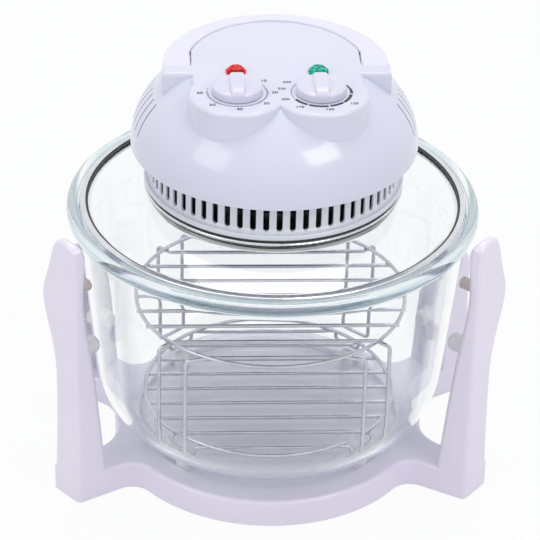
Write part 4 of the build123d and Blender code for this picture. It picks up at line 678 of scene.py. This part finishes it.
def arc_between(first, last, radius, steps=22):
    """Points of the upper arc of a radius between two points."""
    chord = Vector(last) - Vector(first)
    half = chord.length / 2
    down = Vector((chord.y, -chord.x)).normalized()
    centre = (Vector(first) + Vector(last)) / 2 + down * math.sqrt(radius**2 - half**2)
    start, end = (math.atan2(p[1] - centre.y, p[0] - centre.x) for p in (first, last))
    return [
        (centre.x + radius * math.cos(t), centre.y + radius * math.sin(t))
        for t in (start + (end - start) * i / steps for i in range(steps + 1))
    ]


# ---- glass ---------------------------------------------------------------------------
def blown_bowl():
    """The bowl: flat base, elliptical corner, leaning wall and a rolled bead with a ledge."""
    slope = math.tan(math.radians(BOWL_LEAN))
    sides = []
    for grow in (0.0, -GLASS_WALL):
        across, down = BOWL_CORNER[0] + grow, BOWL_CORNER[1] + grow
        lean = math.degrees(math.atan(slope * down / across))
        corner = arc_points((BOWL_FLAT_R, BOWL_CORNER_Z), (across, down), -90, 90 - lean, 28)
        base_z = BOWL_CORNER_Z - down
        join_r, join_z = corner[-1]

        def wall_r(z, join_r=join_r, join_z=join_z):
            return join_r + (z - join_z) * slope

        heights = [join_z + step for step in WALL_STEPS] + [LEDGE_Z - LEDGE_DROP]
        wall = [(wall_r(z), z) for z in heights]
        sides.append(([(0, base_z), (BOWL_FLAT_R * 0.5, base_z)] + corner + wall, wall_r))
    (outside, outer_r), (inside, inner_r) = sides

    bead = (outer_r(BEAD_Z) + BEAD_OFFSET, BEAD_Z)
    under = arc_points(bead, BEAD_HALF, BEAD_UNDER, 0, 1)[0]
    start, crook = ((outer_r(BEAD_Z - drop), BEAD_Z - drop) for drop in (BLEND_DROP, CROOK_DROP))
    for i in range(7):
        t = i / 6
        outside.append(tuple(
            (1 - t) ** 2 * start[k] + 2 * t * (1 - t) * crook[k] + t * t * under[k]
            for k in (0, 1)
        ))
    outside += arc_points(bead, BEAD_HALF, *BEAD_ARC, 44)
    lip_z = LEDGE_Z - LEDGE_LIP
    outside += [(inner_r(LEDGE_Z) + LEDGE_LIP, LEDGE_Z), (inner_r(lip_z), lip_z)]
    lathed("blown_bowl", "glass_bowl", outside + inside[::-1], False)


def pressed_lid():
    """The lid: flat land round its hole, a shallow dome and a thin edge in the seal."""
    low_z, top_z = LID_EDGE_Z
    under_z = LID_LAND_Z - LID_GLASS
    top = arc_between((LID_LAND_R, LID_LAND_Z), (LID_EDGE_R, top_z), LID_DOME_R)
    low = arc_between((LID_LAND_R, under_z), (LID_EDGE_R, low_z), LID_DOME_R)
    edge = [
        (LID_GLASS_R - LID_ARRIS, top_z), (LID_GLASS_R, top_z - LID_ARRIS),
        (LID_GLASS_R, low_z + LID_ARRIS), (LID_GLASS_R - LID_ARRIS, low_z),
    ]
    hole = [(LID_HOLE_R, under_z), (LID_HOLE_R, LID_LAND_Z)]
    lathed("pressed_lid", "lid_glass", top + edge + low[::-1] + hole, True)


# ---- bail and head -------------------------------------------------------------------
def slimmer_band(place):
    """The bail's inner side is an ellipse, so the band is thinnest at the back."""
    inner, deep = BAIL_INNER
    x, y, reach = place.x / MM, place.y / MM, math.hypot(place.x, place.y) / MM
    if y > BAIL_TRIM_Y and reach > BAIL_R:
        return Vector((place.x * BAIL_R / reach, place.y * BAIL_R / reach, place.z))
    if y < BAIL_BAND_Y:
        return place
    side = math.sqrt((x / reach / inner) ** 2 + (y / reach / deep) ** 2)
    goal = BAIL_R - (BAIL_R - reach) * (BAIL_R - 1 / side) / (BAIL_R - inner)
    return Vector((place.x * goal / reach, place.y * goal / reach, place.z))


def slimmed_bail():
    """Merged copy of the bail handle with a slimmer band and soft shading."""
    name = "bail_handle_moulding"
    mesh = NODES["bail_handle"].data.copy()
    mesh.name = name
    merge_close(mesh, MERGE, MERGE_FINE)
    for vertex in mesh.vertices:
        vertex.co = slimmer_band(vertex.co.copy())
    soften(mesh, 30.0)
    piece = stand_in_scene(name, mesh)
    piece.modifiers.new("level_shading", "WEIGHTED_NORMAL").keep_sharp = True
    hand_over(piece, "bail_handle")


def raised_roof():
    """Crown of the head inside the bail: level with the deck, its edge rounded over."""
    half_w, deep = ROOF_HALF
    fall, shell_fall = (math.tan(math.radians(angle)) for angle in (ROOF_FALL, SHELL_FALL))
    work = bmesh.new()
    loops = []
    for inset, drop in ROOF_EDGE:
        clip, loop = ROOF_CLIP - inset, []
        for i in range(ROOF_STEPS + 1):
            t = math.pi * i / ROOF_STEPS
            x = max(-clip, min(clip, (half_w - inset) * math.cos(t)))
            y = ROOF_FRONT + (deep - inset - ROOF_FRONT) * math.sin(t)
            if drop is None:
                on_dome = DOME_BASE_Z + DOME_H * math.sqrt(1 - (x * x + y * y) / DOME_R**2)
                z = min(DECK_Z - shell_fall * (y - ROOF_FRONT), on_dome) - ROOF_SINK
            else:
                z = DECK_Z + ROOF_LIFT - fall * (y - ROOF_FRONT) - drop
            loop.append(work.verts.new((x * MM, y * MM, z * MM)))
        loops.append(loop)
    close_loops(work, loops, False)
    work.faces.new(loops[0])
    work.faces.new(loops[-1])
    bmesh.ops.triangulate(work, faces=[face for face in work.faces if len(face.verts) > 4])
    bmesh.ops.recalc_face_normals(work, faces=work.faces)
    mesh = bpy.data.meshes.new("raised_roof")
    work.to_mesh(mesh)
    work.free()
    soften(mesh, 40.0)
    add_piece(stand_in_scene("raised_roof", mesh), "lid", "head_plastic")


# ---- knobs ---------------------------------------------------------------------------
def knob_skirt(work):
    """Skirt, hollow below, with a socket for the shaft; millimetres from its lower edge."""
    outline = [
        (0, 6.6), (3.1, 6.6), (3.1, 0.6), (5.4, 0.6), (5.4, 3.2), (17.6, 3.2), (17.6, 0),
        (SKIRT_R, 0),
    ]
    outline += arc_points((0, SKIRT_H), (SKIRT_R - 0.3, 3.6), 0, 90, 20)
    turn_outline(work, outline, KNOB_TURNS, 1.0)


def knob_grip(work):
    """Grip along Y: a tapered bar with a rounded top that flows down to the skirt."""
    steps, sections = 32, []
    for i in range(steps + 1):
        y = -GRIP_REACH + 2 * GRIP_REACH * i / steps
        dome = max(0.0, 1 - abs(y / (GRIP_REACH + GRIP_OVERRUN)) ** GRIP_ROUND) ** 0.5
        top = SKIRT_H + GRIP_RISE * dome
        wide = GRIP_HALF_W * (1 - GRIP_TAPER * (abs(y) / GRIP_REACH) ** 3)
        crown = [
            (share * wide, max(top - drop, GRIP_SHOULDER))
            for share, drop in ((-0.93, 1.0), (-0.70, 0.12), (0, 0), (0.70, 0.12), (0.93, 1.0))
        ]
        section = [(-wide, GRIP_FOOT), *crown, (wide, GRIP_FOOT)]
        sections.append([work.verts.new((x, y, z)) for x, z in section])
    close_loops(work, sections, False)
    work.faces.new(sections[0])
    work.faces.new(sections[-1])


def moulded_knob(node, x):
    """Domed knob: skirt and grip melted into one moulding."""
    name = node + "_cap"
    work = bmesh.new()
    knob_skirt(work)
    knob_grip(work)
    bmesh.ops.recalc_face_normals(work, faces=work.faces)
    base = DECK_Z + KNOB_GAP
    for vertex in work.verts:
        u, v, w = vertex.co
        vertex.co = ((u + x) * MM, (v + KNOB_Y) * MM, (w + base) * MM)
    mesh = bpy.data.meshes.new(name)
    work.to_mesh(mesh)
    work.free()
    piece = stand_in_scene(name, mesh)
    melt = piece.modifiers.new("one_moulding", "REMESH")
    melt.mode, melt.voxel_size, melt.use_smooth_shade = "VOXEL", KNOB_VOXEL, True
    ease = piece.modifiers.new("eased", "SMOOTH")
    ease.factor, ease.iterations = 0.5, 4
    freeze(piece)
    hand_over(piece, node)


# ---- what repeats --------------------------------------------------------------------
class Pattern(Graph):
    """A Geometry Nodes tree while it is built; its sizes are named inputs."""

    def __init__(self, name, **sizes):
        self.tree = bpy.data.node_groups.new(name, "GeometryNodeTree")
        super().__init__(self.tree)
        kinds = {int: "NodeSocketInt", float: "NodeSocketFloat", tuple: "NodeSocketVector"}
        face = self.tree.interface
        face.new_socket("Geometry", in_out="INPUT", socket_type="NodeSocketGeometry")
        face.new_socket("Geometry", in_out="OUTPUT", socket_type="NodeSocketGeometry")
        self.keys = {
            size: face.new_socket(size, in_out="INPUT", socket_type=kinds[type(value)]).identifier
            for size, value in sizes.items()
        }
        self.start, self.sizes = self.node("NodeGroupInput", output=None), sizes

    def size(self, name):
        return Wire(self, self.start.outputs[name])

    def around(self, angle, reach, height=0.0):
        """Position at an angle and a distance from the Z axis."""
        return self.vector(
            self.maths("COSINE", angle) * reach, self.maths("SINE", angle) * reach, height
        )

    def shift(self, vector, by):
        return self.node("ShaderNodeVectorMath", {"operation": "ADD"}, {0: vector, 1: by})

    def close(self, geometry, material):
        real = self.node("GeometryNodeRealizeInstances", None, {0: geometry})
        painted = self.node("GeometryNodeSetMaterial", None, {0: real, "Material": material})
        self.node("NodeGroupOutput", None, {0: painted}, output=None)
        return self

    def grow(self, name, body, slot, material=None, points=(), **sizes):
        """Runs the pattern with these sizes and keeps the result as a piece."""
        seed = bpy.data.meshes.new(name)
        seed.from_pydata(points, [], [])
        piece = stand_in_scene(name, seed)
        modifier = piece.modifiers.new("pattern", "NODES")
        modifier.node_group = self.tree
        for size, value in {**self.sizes, **sizes}.items():
            modifier[self.keys[size]] = value
        freeze(piece)
        return add_piece(piece, body, slot, material)


INK_Z = (DECK_Z + 0.06) * MM
INK_HALF = 0.00005            # half the ink's thickness, metres
INK_SPREAD = 0.00009          # how far it runs past a number's outline, metres


def dash_pattern(ink):
    """Flat dashes on a circle, each pointing at its centre."""
    p = Pattern(
        "dial_dashes", centre=(0.0, 0.0, 0.0), count=10, first=0.0, step=0.1, radius=0.02,
        length=0.001, width=0.0003, thickness=0.0001,
    )
    angle = p.size("first") + p.node("GeometryNodeInputIndex") * p.size("step")
    place = p.shift(p.around(angle, p.size("radius")), p.size("centre"))
    dots = p.node("GeometryNodePoints", None, {"Count": p.size("count"), "Position": place})
    dash_size = p.vector(p.size("length"), p.size("width"), p.size("thickness"))
    dash = p.node("GeometryNodeMeshCube", None, {"Size": dash_size})
    marks = p.node("GeometryNodeInstanceOnPoints", None, {
        "Points": dots, "Instance": dash, "Rotation": p.vector(z=angle),
    })
    return p.close(marks, ink)


def band_pattern(ink):
    """Flat printed band round a centre, its width changing from start to end."""
    p = Pattern(
        "dial_band", centre=(0.0, 0.0, 0.0), radius=0.02, first=0.0, sweep=1.0,
        wide_start=0.001, wide_end=0.001, thickness=0.0001, steps=65,
    )
    grid = p.node("GeometryNodeMeshGrid", None, {
        "Size X": 1.0, "Size Y": 1.0, "Vertices X": 2, "Vertices Y": p.size("steps"),
    })
    across, lengthways, _ = p.axes(p.node("GeometryNodeInputPosition"))
    along = lengthways + 0.5
    angle = p.size("first") + along * p.size("sweep")
    wide = p.size("wide_start") + along * (p.size("wide_end") - p.size("wide_start"))
    place = p.shift(p.around(angle, p.size("radius") - across * wide), p.size("centre"))
    laid = p.node("GeometryNodeSetPosition", None, {"Geometry": grid, "Position": place})
    thick = p.node("GeometryNodeExtrudeMesh", None, {
        "Mesh": laid, "Offset": p.vector(z=1.0), "Offset Scale": p.size("thickness"),
        "Individual": False,
    })
    under = p.node("GeometryNodeFlipFaces", None, {0: laid})
    whole = p.node("GeometryNodeJoinGeometry", None, {0: [thick, under]})
    sealed = p.node("GeometryNodeMergeByDistance", None, {0: whole, "Distance": MERGE_FINE})
    return p.close(sealed, ink)


def print_number(text, centre, radius, angle, size, ink):
    """A number printed flat on the deck, upright to the user."""
    name = "dial_number_" + text
    letters = bpy.data.curves.new("number_" + text, "FONT")
    letters.body, letters.size = text, size * MM
    letters.extrude, letters.offset = INK_HALF, INK_SPREAD
    letters.align_x, letters.align_y = "CENTER", "CENTER"
    holder = stand_in_scene(name, letters)
    mesh = settled_mesh(holder)
    bpy.data.objects.remove(holder)
    turn = math.radians(angle)
    x, y = centre[0] + radius * math.cos(turn), centre[1] + radius * math.sin(turn)
    mesh.transform(Matrix.Translation((x * MM, y * MM, INK_Z)))
    merge_close(mesh, MERGE_FINE)
    add_piece(stand_in_scene(name, mesh), "lid", "black_plastic", ink)


TIMER, HEAT = (-KNOB_X, KNOB_Y), (KNOB_X, KNOB_Y)
# Degrees from +X, anticlockwise; radii, lengths and widths in millimetres.
# name: centre, radius, first angle, last angle, count, length, width
DASHES = {
    "timer_dots": (TIMER, 23.4, 76.0, 22.0, 14, 0.75, 0.80),
    "timer_ticks": (TIMER, 23.6, 15.0, -195.0, 43, 1.2, 0.42),
    "timer_long_ticks": (TIMER, 23.9, 0.0, -180.0, 5, 1.9, 0.42),
    "heat_dashes": (HEAT, 23.2, -157.0, -222.0, 16, 0.55, 1.25),
    "heat_tick": (HEAT, 26.4, 69.0, 66.0, 2, 1.8, 0.8),
}
# name: centre, radius, first angle, sweep, width at the start, width at the end
BANDS = {
    "timer_line": (TIMER, 22.9, 20.0, -200.0, 0.42, 0.42),
    "heat_crescent": (HEAT, 23.6, 50.0, -54.0, 0.5, 2.6),
    "heat_band_first": (HEAT, 23.2, -9.0, -35.0, 2.5, 2.5),
    "heat_band_second": (HEAT, 23.2, -47.0, -29.0, 2.5, 2.5),
    "heat_band_third": (HEAT, 23.2, -79.0, -38.0, 2.5, 2.5),
    "heat_band_fourth": (HEAT, 23.2, -120.0, -31.0, 2.5, 2.5),
}
# number, angle, radius
MINUTES = (
    ("10", 43, 29.0), ("20", 0, 29.0), ("30", -40, 28.4), ("40", -88, 27.6), ("50", -134, 28.4),
    ("60", 181, 28.9),
)
DEGREES = (
    ("125", -37, 30.6), ("150", -80, 28.6), ("175", -126, 30.0), ("200", -158, 30.4),
    ("225", 168, 30.8), ("250", 146, 31.0),
)
MINUTE_SIZE, DEGREE_SIZE = 5.0, 4.4


def print_dials():
    """Scales round both knobs: minutes on the left, degrees on the right."""
    ink = dial_ink()
    dashes, bands = dash_pattern(ink), band_pattern(ink)

    def dotted(name):
        centre, radius, first, last, count, length, width = DASHES[name]
        dashes.grow(
            name, "lid", "black_plastic", ink, centre=(centre[0] * MM, centre[1] * MM, INK_Z),
            count=count, first=math.radians(first), step=math.radians(last - first) / (count - 1),
            radius=radius * MM, length=length * MM, width=width * MM,
        )

    def banded(name):
        centre, radius, first, sweep, start, end = BANDS[name]
        bands.grow(
            name, "lid", "black_plastic", ink,
            centre=(centre[0] * MM, centre[1] * MM, INK_Z - INK_HALF), radius=radius * MM,
            first=math.radians(first), sweep=math.radians(sweep), wide_start=start * MM,
            wide_end=end * MM,
        )

    for name in DASHES:
        dotted(name)
    for name in BANDS:
        banded(name)
    for centre, numbers, size in ((TIMER, MINUTES, MINUTE_SIZE), (HEAT, DEGREES, DEGREE_SIZE)):
        for text, angle, radius in numbers:
            print_number(text, centre, radius, angle, size, ink)


# node: body, ring radius, height of the ring's middle
RACKS = {"high_rack": ("rack_high", 112.0, 143.5), "low_rack": ("rack_low", 105.0, 50.5)}
RACK_BARS = 9
RACK_BAR_SPAN = 0.84          # outermost bar, as a share of the ring's radius
BAR_LIFT = 1.35               # where a bar meets the ring, above the ring's middle


def weld_racks():
    """Small resistance-weld beads where the bars cross the rings of both racks."""
    p = Pattern("weld_beads", bead_r=0.0011)
    ball = p.node(
        "GeometryNodeMeshIcoSphere", None, {"Radius": p.size("bead_r"), "Subdivisions": 2}
    )
    dots = p.node("GeometryNodeMeshToPoints", None, {0: p.size("Geometry")})
    spin = p.node("FunctionNodeRandomValue", {"data_type": "FLOAT_VECTOR"}, {
        0: (0.0, 0.0, 0.0), 1: (6.28, 6.28, 6.28), "Seed": 4,
    })
    beads = p.node("GeometryNodeInstanceOnPoints", None, {
        "Points": dots, "Instance": ball, "Rotation": spin, "Scale": p.vector(1.25, 1.25, 0.72),
    })
    p.close(beads, FINISHES["rack_chrome"])
    for node, (body, ring_r, ring_z) in RACKS.items():
        spacing = 2 * ring_r * RACK_BAR_SPAN / (RACK_BARS - 1)
        rows = [ring_r * RACK_BAR_SPAN - spacing * i for i in range(RACK_BARS)]
        points = [
            (side * math.sqrt(ring_r**2 - y**2) * MM, y * MM, (ring_z + BAR_LIFT) * MM)
            for y in rows
            for side in (-1, 1)
        ]
        p.grow(node + "_welds", body, "rack_chrome", points=points)


def coil_filament():
    """Tungsten coil inside the quartz tube, in place of its plain core."""
    p = Pattern(
        "coil", ring_r=0.070, coil_r=0.0009, turns=300.0, height=0.257, sweep=5.864,
        wire_r=0.00022, steps=3601,
    )
    line = p.node("GeometryNodeMeshLine", {"mode": "OFFSET"}, {"Count": p.size("steps")})
    share = p.node("GeometryNodeInputIndex") / (p.size("steps") - 1.0)
    angle = p.size("sweep") * share + (FULL_TURN - p.size("sweep")) * 0.5
    twist = share * p.size("turns") * FULL_TURN
    reach = p.size("ring_r") + p.maths("COSINE", twist) * p.size("coil_r")
    place = p.around(angle, reach, p.size("height") + p.maths("SINE", twist) * p.size("coil_r"))
    laid = p.node("GeometryNodeSetPosition", None, {"Geometry": line, "Position": place})
    curve = p.node("GeometryNodeMeshToCurve", None, {0: laid})
    section = p.node("GeometryNodeCurvePrimitiveCircle", {"mode": "RADIUS"}, {
        "Resolution": 5, "Radius": p.size("wire_r"),
    })
    wire = p.node("GeometryNodeCurveToMesh", None, {
        "Curve": curve, "Profile Curve": section, "Fill Caps": True,
    })
    p.close(wire, FINISHES["tungsten"])
    piece = p.grow("filament_coil", "lid", "tungsten")
    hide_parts("lamp_filament")


# ---- the oven ------------------------------------------------------------------------
bpy.context.scene.view_settings.view_transform = "Standard"
set_camera()
light_the_room()
lay_floor()
for node_name, node in NODES.items():
    wear(node, FINISHES[SLOT_OF[node_name]])

slimmed_bail()
blown_bowl()
pressed_lid()
raised_roof()
moulded_knob("timer_knob", -KNOB_X)
moulded_knob("thermostat_knob", KNOB_X)
print_dials()
weld_racks()
coil_filament()
